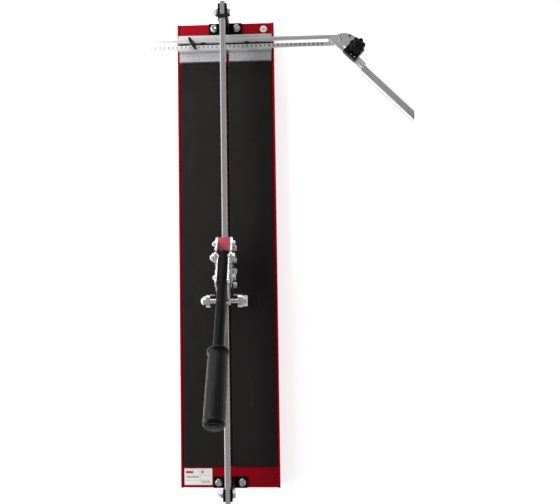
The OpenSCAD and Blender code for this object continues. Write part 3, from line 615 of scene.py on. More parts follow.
def across_flats(low, high):
    """Across-flats size of a hexagon that stands in a box along X."""
    return min(high.y - low.y, high.z - low.z)


# ---- pieces ----


class Step:
    """One step of the build: what every operator here shares."""

    def execute(self, context):
        self.build(context, context.scene.cutter_sizes)
        return {"FINISHED"}


class CUTTER_OT_finishes(Step, bpy.types.Operator):
    """Mixes the finishes"""

    bl_idname = "cutter.finishes"
    bl_label = "Finishes"

    def build(self, context, sizes):
        _, direction, _ = long_axis("angle_arm", JOINT["arm_swing"]["pos_m"])
        make_finishes(context.scene.cutter_colours, -math.atan2(direction.y, direction.x))


class CUTTER_OT_base(Step, bpy.types.Operator):
    """Folds the red tray with its hems, and puts the beam and the feet under it"""

    bl_idname = "cutter.base"
    bl_label = "Base"

    def build(self, context, sizes):
        softened("base_tray", "tray", sizes.sheet_edge, "red_powder_coat", 3)
        softened("base_beam", "spine", sizes.sheet_edge, "black_oxide")
        bm = bmesh.new()
        for low, high in solids_of("corner_feet"):
            self.foot(bm, low, high, 2 * MM)
        stand_in("base_feet", bm, "corner_feet", "mat_rubber")
        bm = bmesh.new()
        self.foot(bm, *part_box("middle_foot"), 4 * MM)
        stand_in("base_middle_foot", bm, "middle_foot", "mat_rubber")

    def foot(self, bm, low, high, rim):
        """A rubber foot with a rounded rim and a screw recess underneath."""
        radius, height = (high.x - low.x) / 2, high.z - low.z
        place = upright(low, high, low.z)
        well = radius * 0.35
        turned(bm, place, [
            (0, 0.4 * height), (well, 0.4 * height), (well, 0.3 * MM), (well + 0.3 * MM, 0),
            (radius - rim, 0),
            (radius - rim * 0.3, rim * 0.3), (radius - 0.1 * MM, rim), (radius, height * 0.6),
            (radius, height), (0, height),
        ], 48)


class CUTTER_OT_mats(Step, bpy.types.Operator):
    """Lays the two rubber mats and the breaking rib between them"""

    bl_idname = "cutter.mats"
    bl_label = "Mats"

    def build(self, context, sizes):
        for side in ("left", "right"):
            softened(f"rubber_mat_{side}", f"mat_{side}", sizes.mat_edge, "mat_rubber", 3)
        low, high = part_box("breaking_rib")
        middle, crown, shoulder = (low.x + high.x) / 2, high.z, high.z - 0.8 * MM
        half = (high.x - low.x) / 2
        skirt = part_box("mat_right")[0].x - middle - 0.2 * MM
        foot = low.z + 0.3 * MM
        outline = [(-skirt, low.z), (skirt, low.z), (skirt, foot), (half, foot), (half, shoulder)]
        outline += [(half * math.cos(a), shoulder + (crown - shoulder) * math.sin(a)) for a in np.linspace(
            0.3, math.pi - 0.3, 7,
        )]
        outline += [(-half, shoulder), (-half, foot), (-skirt, foot)]
        bm = bmesh.new()
        place = Matrix(((1, 0, 0, middle), (0, 0, 1, 0), (0, 1, 0, 0), (0, 0, 0, 1)))
        extruded(bm, outline, low.y, high.y, place)
        stop_low, stop_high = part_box("stop_right")
        block(
            bm, (2 * middle - stop_low.x + 0.2 * MM, high.y, low.z),
            (stop_low.x - 0.2 * MM, stop_high.y, foot),
        )
        # The darkened red on the rib and on the strip between the stops is painted shade in the groove
        stand_in("groove_rib", bm, "breaking_rib", "shaded_red_coat")


class CUTTER_OT_posts(Step, bpy.types.Operator):
    """Stands the two posts on the base, with their screws and the rail's bolts and nuts"""

    bl_idname = "cutter.posts"
    bl_label = "Posts"

    def build(self, context, sizes):
        for end in ("near", "far"):
            softened(f"rail_post_{end}", f"{end}_post", sizes.sheet_edge, "black_powder_coat", 2)
        bm = bmesh.new()
        for low, high in solids_of("post_screws"):
            across = 13 * MM
            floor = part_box("near_post")[0].z
            top_of_plate = floor + 4 * MM
            washer_top = top_of_plate + 1.4 * MM
            place = upright(low, high)
            radius = (high.x - low.x) / 2
            turned(bm, place, [(0, floor), (4 * MM, floor), (4 * MM, top_of_plate), (0, top_of_plate)], 24)
            washer(bm, place, 3.9 * MM, radius, top_of_plate, washer_top)
            hex_body(bm, place, across, washer_top, high.z)
        stand_in("post_foot_screws", bm, "post_screws", "zinc_plating")
        bm = bmesh.new()
        for low, high in solids_of("rail_bolts"):
            self.rail_bolt(bm, low, high, sizes.thread_pitch)
        stand_in("rail_hex_bolts", bm, "rail_bolts", "zinc_plating")
        bm = bmesh.new()
        for low, high in solids_of("rail_nuts"):
            place = crosswise(low, high)
            lock_nut(bm, place, across_flats(low, high), high.x, low.x, M10_BORE)
        stand_in("rail_lock_nuts", bm, "rail_nuts", "zinc_plating")

    def rail_bolt(self, bm, low, high, pitch):
        place = crosswise(low, high)
        across = across_flats(low, high)
        head = high.x - 6.5 * MM
        turned(bm, place, [(0, -head), (M10_RADIUS, -head), (M10_RADIUS, head), (0, head)], 32)
        threaded(bm, place, M10_RADIUS, -head, low.x, pitch)
        hex_body(bm, place, across, head, high.x)


class CUTTER_OT_rail(Step, bpy.types.Operator):
    """Fits the chromed rail and its end bumper"""

    bl_idname = "cutter.rail"
    bl_label = "Rail"

    def build(self, context, sizes):
        softened("guide_rail", "rail", sizes.plate_edge, "rail_chrome", 2)
        softened("end_bumper", "rail_bumper", sizes.sheet_edge, "mat_rubber", 3)


class CUTTER_OT_tile_stop(Step, bpy.types.Operator):
    """Fits the two serrated blocks that the tile is pushed against"""

    bl_idname = "cutter.tile_stop"
    bl_label = "Tile stop"

    def build(self, context, sizes):
        pitch = sizes.rib_pitch
        for side in ("left", "right"):
            low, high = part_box(f"stop_{side}")
            depth, height = high.y - low.y, high.z - low.z
            count = int((depth - 2 * MM) / pitch)
            outline = [(0, 0), (depth, 0), (depth, height - 0.6 * MM), (depth - 0.6 * MM, height)]
            start = (depth - count * pitch) / 2
            for i in reversed(range(count)):
                at = start + i * pitch
                outline += [
                    (at + pitch * 0.8, height), (at + pitch * 0.5, height - 0.45 * MM),
                    (at + pitch * 0.2, height),
                ]
            outline += [(0.6 * MM, height), (0, height - 0.6 * MM)]
            bm = bmesh.new()
            place = Matrix(((0, 0, 1, 0), (1, 0, 0, low.y), (0, 1, 0, low.z), (0, 0, 0, 1)))
            extruded(bm, outline, low.x, high.x, place)
            stand_in(f"tile_stop_{side}", bm, f"stop_{side}", "serrated_aluminium", 20)


class CUTTER_OT_guide(Step, bpy.types.Operator):
    """Fits the channel that the scale bar slides in, with its shoes, its pin and the clamp's stud"""

    bl_idname = "cutter.guide"
    bl_label = "Guide"

    def build(self, context, sizes):
        softened("bar_channel", "guide_channel", sizes.plate_edge * 0.7, "guide_aluminium")
        softened("bar_shoes", "guide_shoes", sizes.plate_edge * 0.8, "moulded_plastic")
        bm = bmesh.new()
        low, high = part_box("limit_pin")
        place = upright(low, high)
        radius = (high.x - low.x) / 2
        turned(bm, place, [
            (0, low.z), (radius, low.z), (radius, high.z - 0.6 * MM),
            (radius * 0.85, high.z - 0.15 * MM), (radius * 0.5, high.z), (0, high.z),
        ], 32)
        stand_in("bar_limit_pin", bm, "limit_pin", "black_oxide")
        reach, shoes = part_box("guide_channel"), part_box("scale_bar")
        # A thin dark plastic strip on the channel floor under the bar's slot: painted shade, so the slot looks
        # dark
        bm = bmesh.new()
        block(
            bm, (reach[0].x + 0.5 * MM, low.y + 0.1 * MM, shoes[0].z - 0.02 * MM),
            (reach[1].x - 0.5 * MM, high.y - 0.1 * MM, shoes[0].z + 0.04 * MM),
        )
        added_piece("slot_shade_strip", bm, "base", "moulded_plastic")
        low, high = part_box("clamp_stud")
        place = upright(low, high)
        bm = bmesh.new()
        threaded(bm, place, (high.x - low.x) / 2, low.z, high.z, 0.8 * MM)
        stand_in("wing_stud", bm, "clamp_stud", "black_oxide")


class CUTTER_OT_wing_clamp(Step, bpy.types.Operator):
    """Fits the leaf-shaped wing that clamps the scale bar, and its washer"""

    bl_idname = "cutter.wing_clamp"
    bl_label = "Wing clamp"

    def build(self, context, sizes):
        softened("bar_clamp_wing", "clamp_wing", 1.4 * MM, "moulded_plastic", 4, 40)
        low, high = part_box("clamp_washer")
        place = upright(low, high)
        bm = bmesh.new()
        washer(bm, place, 2.55 * MM, (high.x - low.x) / 2, low.z, high.z)
        stand_in("bar_clamp_washer", bm, "clamp_washer", "zinc_plating")


class CUTTER_OT_scale_bar(Step, bpy.types.Operator):
    """Fits the slotted scale bar, with its marks and numbers"""

    bl_idname = "cutter.scale_bar"
    bl_label = "Scale bar"

    def build(self, context, sizes):
        softened("slotted_bar", "scale_bar", sizes.plate_edge * 0.8, "bar_aluminium")
        low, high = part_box("scale_bar")
        plate_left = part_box("protractor_plate")[0].x
        top = high.z + PRINT_LIFT
        near = low.y + 0.8 * MM
        bm = bmesh.new()
        first = low.x + 8 * MM
        count = int((plate_left - first) / MM) - 1
        for i in range(count):
            at = first + i * MM
            reach = 2.3 * MM if i % 10 == 0 else 1.8 * MM if i % 5 == 0 else 1.1 * MM
            half = 0.25 * MM if i % 10 == 0 else 0.13 * MM
            block(bm, (at - half, near, top), (at + half, near + reach, top + PRINT_T))
        for offset in (4.4 * MM, 6.6 * MM):
            far = high.y - offset
            block(bm, (low.x + 1 * MM, far, top), (plate_left - 1 * MM, far + 0.35 * MM, top + PRINT_T))
        added_piece("scale_marks", bm, "bar", "scale_ink")
        self.numbers(first, near + 2.7 * MM, top, sizes.mark_pitch, count)

    def numbers(self, first, base, top, pitch, count):
        """The centimetre numbers, counted from the left end of the bar."""
        bm = bmesh.new()
        for i in range(1, int(count * MM / pitch)):
            curve = bpy.data.curves.new("number", "FONT")
            curve.body = str(i)
            curve.size = 5.8 * MM
            curve.offset = 0.2 * MM
            curve.align_x = "CENTER"
            curve.extrude = PRINT_T / 2
            curve.resolution_u = 3
            obj = bpy.data.objects.new("number", curve)
            bpy.context.scene.collection.objects.link(obj)
            mesh = bpy.data.meshes.new_from_object(obj.evaluated_get(bpy.context.evaluated_depsgraph_get()))
            mesh.transform(Matrix.Translation((first + i * pitch, base, top + PRINT_T / 2)))
            bm.from_mesh(mesh)
            bpy.data.objects.remove(obj)
            bpy.data.meshes.remove(mesh)
            bpy.data.curves.remove(curve)
        added_piece("scale_numbers", bm, "bar", "scale_ink")


class CUTTER_OT_protractor(Step, bpy.types.Operator):
    """Fits the protractor plate with its degree marks, rivets and stud"""

    bl_idname = "cutter.protractor"
    bl_label = "Protractor"

    def build(self, context, sizes):
        softened("degree_plate", "protractor_plate", sizes.plate_edge, "protractor_steel")
        low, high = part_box("protractor_plate")
        axis = JOINT["arm_swing"]["pos_m"]
        centre = Vector((axis[0] - 26 * MM, axis[1] + 1 * MM))
        top = high.z + PRINT_LIFT
        _, direction, _ = long_axis("angle_arm", axis)
        middle = math.atan2(direction.y, direction.x) + math.pi / 2
        bm = bmesh.new()
        for degree in range(-60, 66, 5):
            place = Matrix.Translation((
                centre.x, centre.y, 0,
            )) @ Matrix.Rotation(middle + math.radians(degree), 4, "Z")
            reach = 4.5 * MM if degree % 15 == 0 else 2.6 * MM
            block(bm, (36 * MM - reach, -0.14 * MM, top), (36 * MM, 0.14 * MM, top + PRINT_T), place)
        for radius in (36.3 * MM, 29.5 * MM):
            self.arc(bm, centre, radius, middle, top)
        # A dark printed disc: painted shade that stands for a dark hole in the plate
        spot = Matrix.Translation((centre.x + 13 * MM, centre.y + 31 * MM, top))
        turned(bm, spot, [(0, 0), (2.6 * MM, 0), (2.6 * MM, PRINT_T), (0, PRINT_T)], 28)
        added_piece("degree_marks", bm, "bar", "scale_ink")
        bm = bmesh.new()
        for low, high in solids_of("plate_rivets"):
            place = upright(low, high)
            radius, shoulder = (high.x - low.x) / 2, high.z - 1.2 * MM
            turned(bm, place, [
                (0, low.z), (1.5 * MM, low.z), (1.5 * MM, shoulder), (radius, shoulder),
                (radius, shoulder + 0.3 * MM),
                (radius * 0.8, high.z - 0.25 * MM), (radius * 0.4, high.z), (0, high.z - 0.1 * MM),
            ], 28)
        stand_in("degree_plate_rivets", bm, "plate_rivets", "zinc_plating")
        low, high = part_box("knob_stud")
        place = axes_at((axis[0], axis[1], 0), UP)
        bm = bmesh.new()
        hex_body(bm, place, 14 * MM, low.z + 3 * MM, low.z)
        turned(bm, place, [
            (0, low.z + 3 * MM), (4 * MM, low.z + 3 * MM), (4 * MM, high.z - 0.6 * MM),
            (3.4 * MM, high.z), (0, high.z),
        ], 32)
        stand_in("arm_stud", bm, "knob_stud", "zinc_plating")

    def arc(self, bm, centre, radius, middle, top):
        """A thin printed arc over the range of the degree marks."""
        points = []
        for r in (radius - 0.12 * MM, radius + 0.12 * MM):
            row = [middle + math.radians(d) for d in range(-62, 63, 4)]
            points.append([(centre.x + r * math.cos(a), centre.y + r * math.sin(a)) for a in row])
        outline = points[0] + list(reversed(points[1]))
        low = [bm.verts.new((x, y, top)) for x, y in outline]
        high = [bm.verts.new((x, y, top + PRINT_T)) for x, y in outline]
        half, total = len(points[0]), len(outline)
        for i in range(half - 1):
            a, b, c, d = i, i + 1, total - 2 - i, total - 1 - i
            bm.faces.new([high[k] for k in (a, b, c, d)])
            bm.faces.new([low[k] for k in (d, c, b, a)])
        for i in range(total):
            j = (i + 1) % total
            bm.faces.new((low[i], low[j], high[j], high[i]))


class CUTTER_OT_knob(Step, bpy.types.Operator):
    """Fits the black clamp block and the star knob"""

    bl_idname = "cutter.knob"
    bl_label = "Knob"

    def build(self, context, sizes):
        softened("arm_clamp_block", "clamp_block", 1.0 * MM, "moulded_plastic", 3, 40)
        axis = JOINT["knob_turn"]["pos_m"]
        low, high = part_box("star_knob")
        place = axes_at((axis[0], axis[1], low.z), UP, ALONG_X)
        height = high.z - low.z
        lobe, hub, outer = 5.5 * MM, 12.5 * MM, 18 * MM

        def star(angle, radius, along):
            """Seven round lobes joined by hollows; the crown narrows to a circle."""
            turn = (angle + math.pi / 7) % (math.tau / 7) - math.pi / 7
            side = hub * math.sin(turn)
            reach = hub
            if abs(side) < lobe:
                reach = hub * math.cos(turn) + math.sqrt(max(lobe * lobe - side * side, 0))
            waist = outer - 4.2 * MM
            shape = max(min(reach, outer), waist)
            keep = ramp(radius, 9 * MM, outer - 9 * MM)
            return min(radius, 9 * MM) + keep * (shape - 9 * MM)

        top, skirt = height, height - 2 * MM
        stations = [
            (4.1 * MM, 0.2 * MM), (9 * MM, 0.1 * MM), (outer * 0.9, 0), (outer * 0.97, 0.4 * MM),
            (outer, 1.4 * MM), (outer, skirt - 2.4 * MM),
        ]
        for a in np.linspace(0.35, 1.45, 5):
            shoulder = skirt - 2.4 * MM + 2.4 * MM * math.sin(a)
            stations.append((outer - 2.6 * MM * (1 - math.cos(a)), shoulder))
        stations += [
            (10.5 * MM, skirt + 0.35 * MM), (9 * MM, skirt + 0.7 * MM), (8.2 * MM, top - 0.3 * MM),
            (7.6 * MM, top), (6.6 * MM, top), (6.2 * MM, top - 0.5 * MM), (0, top - 0.5 * MM),
        ]
        stations = [(0, 0.2 * MM)] + stations
        bm = bmesh.new()
        turned(bm, place, stations, 140, star)
        stand_in("arm_star_knob", bm, "star_knob", "moulded_plastic", 50)
        _, block_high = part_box("clamp_block")
        _, direction, _ = long_axis("angle_arm", axis)
        across = Vector((direction.y, -direction.x, 0))
        bm = bmesh.new()
        for away, shift in ((20.4 * MM, 2.0 * MM), (18.8 * MM, 12.0 * MM)):
            spot = Vector((axis[0], axis[1], block_high.z)) + across * away + direction * shift
            turned(bm, axes_at(spot, UP), [
                (0, -1.2 * MM), (1.5 * MM, -1.2 * MM), (1.5 * MM, 0.1 * MM), (1.3 * MM, 0.3 * MM),
                (0.8 * MM, 0.3 * MM), (0.7 * MM, -0.3 * MM), (0, -0.3 * MM),
            ], 24)
        added_piece("block_screws", bm, "bar", "zinc_plating")


class CUTTER_OT_angle_arm(Step, bpy.types.Operator):
    """Fits the bracket and the ribbed angle arm, with its rivets; the bracket and the arm's face carry painted
    highlights
    """

    bl_idname = "cutter.angle_arm"
    bl_label = "Angle arm"

    def build(self, context, sizes):
        # The bracket's near-white finish is a painted highlight
        softened("arm_plate", "arm_bracket", sizes.plate_edge, "white_highlight_plate")
        softened("fence_arm", "angle_arm", sizes.plate_edge * 0.7, "arm_aluminium")
        axis = Vector(JOINT["arm_swing"]["pos_m"])
        _, direction, _ = long_axis("angle_arm", axis)
        direction.z = 0
        direction.normalize()
        low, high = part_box("angle_arm")
        place = axes_at((axis.x, axis.y, high.z), direction, UP)
        spots = np.array([v.co for v in frame["nodes"]["angle_arm"].data.vertices]) - np.array((
            axis.x, axis.y, high.z,
        ))
        along, side = spots @ np.array(direction), spots @ np.array(direction.cross(UP))
        face, far, width = side.max(), along.max(), float(np.ptp(side))
        bm = bmesh.new()
        for share in (0.2, 0.5, 0.8):
            middle = face - width * share
            outline = [
                (0, middle - 0.8 * MM), (0.4 * MM, middle - 0.5 * MM),
                (0.4 * MM, middle + 0.5 * MM), (0, middle + 0.8 * MM),
            ]
            extruded(bm, outline, 41 * MM, far - 2 * MM - 13 * MM * share, place)
        added_piece("fence_arm_ribs", bm, "arm", "bar_aluminium")
        # A thin sheet of near-white aluminium on the arm's upright face: painted highlight
        depth = high.z - low.z
        bm = bmesh.new()
        outline = [
            (-0.8 * MM, face - 0.02 * MM), (-0.8 * MM, face + 0.06 * MM),
            (6 * MM - depth, face + 0.06 * MM), (6 * MM - depth, face - 0.02 * MM),
        ]
        extruded(bm, outline, 40.5 * MM, far - 0.5 * MM, place)
        added_piece("arm_face_highlight", bm, "arm", "highlight_aluminium")
        bm = bmesh.new()
        for low, high in solids_of("arm_rivets"):
            spot = upright(low, high, low.z)
            radius, rise = (high.x - low.x) / 2, high.z - low.z
            turned(bm, spot, [
                (0, 0), (radius, 0), (radius, 0.3 * rise), (radius * 0.75, 0.8 * rise),
                (radius * 0.35, rise), (0, rise),
            ], 28)
        stand_in("arm_plate_rivets", bm, "arm_rivets", "zinc_plating")


class CUTTER_OT_carriage(Step, bpy.types.Operator):
    """Builds the carriage: side plates, red slide block and the block that holds the wheel"""

    bl_idname = "cutter.carriage"
    bl_label = "Carriage"

    def build(self, context, sizes):
        for side in ("left", "right"):
            softened(f"carriage_plate_{side}", f"side_plate_{side}", sizes.plate_edge, "zinc_plating")
        softened("nylon_block", "slide_block", 0.9 * MM, "red_nylon", 3, 40)
        softened("wheel_carrier", "wheel_block", sizes.plate_edge * 1.3, "black_oxide", 2, 40)


class CUTTER_OT_carriage_bolts(Step, bpy.types.Operator):
    """Fits the carriage's bolts and lock nuts, the lever's pivot bolt and the stem screw"""

    bl_idname = "cutter.carriage_bolts"
    bl_label = "Carriage bolts"

    def build(self, context, sizes):
        pitch = sizes.thread_pitch
        plate_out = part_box("side_plate_right")[1].x
        bm = bmesh.new()
        for low, high in solids_of("carriage_bolts"):
            self.bolt(bm, low, high, plate_out, M8_RADIUS, pitch)
        stand_in("carriage_hex_bolts", bm, "carriage_bolts", "zinc_plating")
        bm = bmesh.new()
        self.bolt(bm, *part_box("pivot_bolt"), plate_out, M10_RADIUS, pitch)
        stand_in("lever_pivot_bolt", bm, "pivot_bolt", "zinc_plating")
        for piece, node, bore in (
            ("carriage_lock_nuts", "carriage_nuts", M8_BORE),
            ("lever_pivot_nut", "pivot_nut", M10_BORE),
        ):
            bm = bmesh.new()
            for low, high in solids_of(node):
                place = crosswise(low, high)
                lock_nut(bm, place, across_flats(low, high), high.x, low.x, bore)
            stand_in(piece, bm, node, "zinc_plating")
        low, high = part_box("stem_screw")
        place = axes_at(((low.x + high.x) / 2, 0, (low.z + high.z) / 2), ALONG_Y)
        bm = bmesh.new()
        hex_body(bm, place, 8 * MM, low.y + 4 * MM, low.y)
        threaded(bm, place, 2.5 * MM, low.y + 4 * MM, high.y, 0.8 * MM)
        stand_in("stem_set_screw", bm, "stem_screw", "zinc_plating")

    def bolt(self, bm, low, high, plate_out, radius, pitch):
        place = crosswise(low, high)
        turned(bm, place, [(0, -plate_out), (radius, -plate_out), (radius, plate_out), (0, plate_out)], 32)
        threaded(bm, place, radius, -plate_out, low.x, pitch)
        hex_body(bm, place, across_flats(low, high), plate_out, high.x)


class CUTTER_OT_rollers(Step, bpy.types.Operator):
    """Fits the three ball bearings that run on the rail"""

    bl_idname = "cutter.rollers"
    bl_label = "Rollers"

    def build(self, context, sizes):
        for node in ("front_roller", "rear_roller", "top_roller"):
            low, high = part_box(node)
            place = crosswise(low, high)
            radius, half, bore = (high.z - low.z) / 2, high.x, 4.05 * MM
            race, shield = radius - 1.8 * MM, bore + 1.6 * MM
            face = [
                (bore, half - 0.3 * MM), (bore + 0.3 * MM, half), (shield, half),
                (shield + 0.1 * MM, half - 0.7 * MM),
            ]
            face += [
                (race - 0.1 * MM, half - 0.7 * MM), (race, half), (radius - 0.4 * MM, half),
                (radius, half - 0.4 * MM),
            ]
            ring = face + [(r, -x) for r, x in reversed(face)]
            bm = bmesh.new()
            turned(bm, place, ring, 56, closed=True)
            stand_in(node.replace("roller", "bearing"), bm, node, "ground_steel")


class CUTTER_OT_lever(Step, bpy.types.Operator):
    """Builds the lever: tube, cheek plates, rivets and rubber grip"""

    bl_idname = "cutter.lever"
    bl_label = "Lever"

    def build(self, context, sizes):
        softened("handle_tube", "lever_tube", sizes.plate_edge, "black_powder_coat", 2, 40)
        for side in ("left", "right"):
            softened(f"lever_cheek_{side}", f"cheek_{side}", sizes.plate_edge, "zinc_plating")
        bm = bmesh.new()
        for low, high in solids_of("cheek_rivets"):
            place = crosswise(low, high)
            radius, half = (high.z - low.z) / 2, high.x
            cap = [
                (radius, half - 2 * MM), (radius * 0.97, half - 1.4 * MM),
                (radius * 0.8, half - 0.6 * MM), (radius * 0.45, half - 0.1 * MM), (0, half),
            ]
            shank = [(3 * MM, half - 2 * MM)]
            left = [(r, -x) for r, x in [*reversed(cap), *shank]]
            turned(bm, place, left + shank + cap, 32)
        stand_in("lever_cheek_rivets", bm, "cheek_rivets", "zinc_plating")
        self.grip()

    def grip(self):
        """A soft sleeve with a collar, shallow finger swells and a domed end."""
        start, direction, length = long_axis("grip", JOINT["lever_pivot"]["pos_m"])
        place = axes_at(start, direction, ALONG_X)
        collar, body, bore = 20.5 * MM, 18.5 * MM, 10.1 * MM
        stations = [
            (bore, 1.0 * MM), (bore + 0.8 * MM, 0.2 * MM), (collar - 0.9 * MM, 0),
            (collar - 0.2 * MM, 0.7 * MM), (collar, 2.0 * MM),
        ]
        stations += [
            (collar - 0.1 * MM, 4.8 * MM), (collar - 0.8 * MM, 5.8 * MM),
            (body - 0.3 * MM, 8.2 * MM), (body - 0.7 * MM, 10 * MM),
        ]
        for i in range(1, 25):
            t = i / 24
            at = 10 * MM + t * (length - 16.5 * MM)
            swell = 0.2 * MM * math.sin(t * math.pi) - 0.1 * MM * math.cos(t * 6 * math.pi)
            stations.append((body - 0.6 * MM + 1.0 * MM * t + swell, at))
        for back, drop in (
            (0.0, 6.2), (0.6, 5.0), (1.45, 3.8), (2.3, 2.6), (3.1, 1.6), (4.6, 1.1), (6.2, 0.8),
            (6.6, 1.1), (7.4, 1.1), (7.9, 0.5), (13.0, 0.1),
        ):
            stations.append((body + (0.4 - back) * MM, length - drop * MM))
        stations += [(0, length)]
        stations = [(0, 3 * MM), (bore - 0.1 * MM, 3 * MM)] + stations

        def flutes(angle, radius, along):
            """Fine lengthwise flutes that fade out at the collar and the dome."""
            fade = ramp(along, 16 * MM, 8 * MM) * ramp(length - 12 * MM, along, 10 * MM)
            return radius - fade * 0.22 * MM * (0.5 + 0.5 * math.cos(angle * 22))

        bm = bmesh.new()
        turned(bm, place, stations, 132, flutes)
        stand_in("rubber_grip", bm, "grip", "grip_rubber", 50)


class CUTTER_OT_breaker(Step, bpy.types.Operator):
    """Builds the breaker: cross rod, arms with feet, pads and the two nuts"""

    bl_idname = "cutter.breaker"
    bl_label = "Breaker"

    def build(self, context, sizes):
        for side in ("left", "right"):
            softened(f"breaker_leg_{side}", f"breaker_arm_{side}", sizes.plate_edge * 1.6, "zinc_plating", 3)
        softened("breaker_soles", "breaker_pads", sizes.mat_edge, "mat_rubber", 3)
        low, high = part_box("breaker_rod")
        place = crosswise(low, high)
        radius = (high.z - low.z) / 2
        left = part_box("rod_cap_nut")[1].x
        bm = bmesh.new()
        turned(bm, place, [
            (0, left), (radius, left), (radius, high.x - 0.8 * MM), (radius - 0.8 * MM, high.x),
            (0, high.x),
        ], 36)
        threaded(bm, place, radius, left, low.x, 1.5 * MM)
        stand_in("breaker_cross_rod", bm, "breaker_rod", "zinc_plating")
        self.cap_nut(place)
        self.knurled_nut(place, radius)

    def cap_nut(self, place):
        low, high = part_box("rod_cap_nut")
        shoulder = high.x - 7 * MM
        bm = bmesh.new()
        hex_body(bm, place, across_flats(low, high), high.x, shoulder + 0.2 * MM)
        length = shoulder - low.x
        cone = [
            (7.4 * MM, 0), (7.3 * MM, 0.15), (6.6 * MM, 0.42), (5.2 * MM, 0.66), (3.4 * MM, 0.86),
            (1.6 * MM, 0.97),
        ]
        back = shoulder + 1 * MM
        tip = [(r, shoulder - t * length) for r, t in cone]
        turned(bm, place, [(0, back), (7.4 * MM, back), *tip, (0, low.x)], 40)
        stand_in("rod_acorn_nut", bm, "rod_cap_nut", "zinc_plating")

    def knurled_nut(self, place, bore):
        """A round nut with a crossed knurl between two smooth rims."""
        low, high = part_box("rod_knurled_nut")
        radius, rim = (high.z - low.z) / 2, 1.3 * MM
        teeth, deep = 36, 0.55 * MM

        def knurl(angle, r, along):
            if r < radius or along < low.x + rim or along > high.x - rim:
                return min(r, radius)
            lead = (along - low.x) * teeth / radius
            one, two = math.cos(teeth * angle + lead), math.cos(teeth * angle - lead)
            return radius - deep * (0.5 - 0.5 * max(one, two))

        stations = [
            (bore + 0.03 * MM, low.x), (radius - 0.5 * MM, low.x),
            (radius - 0.01 * MM, low.x + 0.5 * MM), (radius - 0.01 * MM, low.x + rim * 0.9),
        ]
        stations += [(radius, at) for at in np.linspace(low.x + rim + 0.01 * MM, high.x - rim - 0.01 * MM, 34)]
        stations += [
            (radius - 0.01 * MM, high.x - rim * 0.9), (radius - 0.01 * MM, high.x - 0.5 * MM),
            (radius - 0.5 * MM, high.x), (bore + 0.8 * MM, high.x),
            (bore + 0.03 * MM, high.x - 0.6 * MM),
        ]
        bm = bmesh.new()
        turned(bm, place, stations, 216, knurl, closed=True)
        stand_in("rod_thumb_nut", bm, "rod_knurled_nut", "zinc_plating", 50)


class CUTTER_OT_scoring_wheel(Step, bpy.types.Operator):
    """Fits the scoring wheel in its fork"""

    bl_idname = "cutter.scoring_wheel"
    bl_label = "Scoring wheel"

    def build(self, context, sizes):
        softened("wheel_holder_fork", "wheel_fork", sizes.plate_edge, "zinc_plating", 2, 40)
        low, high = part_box("fork_pin")
        place = crosswise(low, high)
        radius, half = (high.z - low.z) / 2, high.x
        bm = bmesh.new()
        end = [(radius, half - 0.4 * MM), (radius - 0.4 * MM, half), (0, half)]
        turned(bm, place, [(r, -x) for r, x in reversed(end)] + end, 28)
        stand_in("wheel_pin", bm, "fork_pin", "ground_steel")
        low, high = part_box("scoring_wheel")
        rim, half, bore = (high.z - low.z) / 2, high.x, radius + 0.05 * MM
        face = [
            (bore, half), (rim * 0.45, half), (rim * 0.5, half - 0.3 * MM),
            (rim * 0.74, half - 0.3 * MM), (rim * 0.78, half), (rim - 2.0 * MM, half),
        ]
        bm = bmesh.new()
        turned(bm, place, face + [(rim, 0)] + [(r, -x) for r, x in reversed(face)], 72, closed=True)
        stand_in("carbide_wheel", bm, "scoring_wheel", "ground_steel", 20)


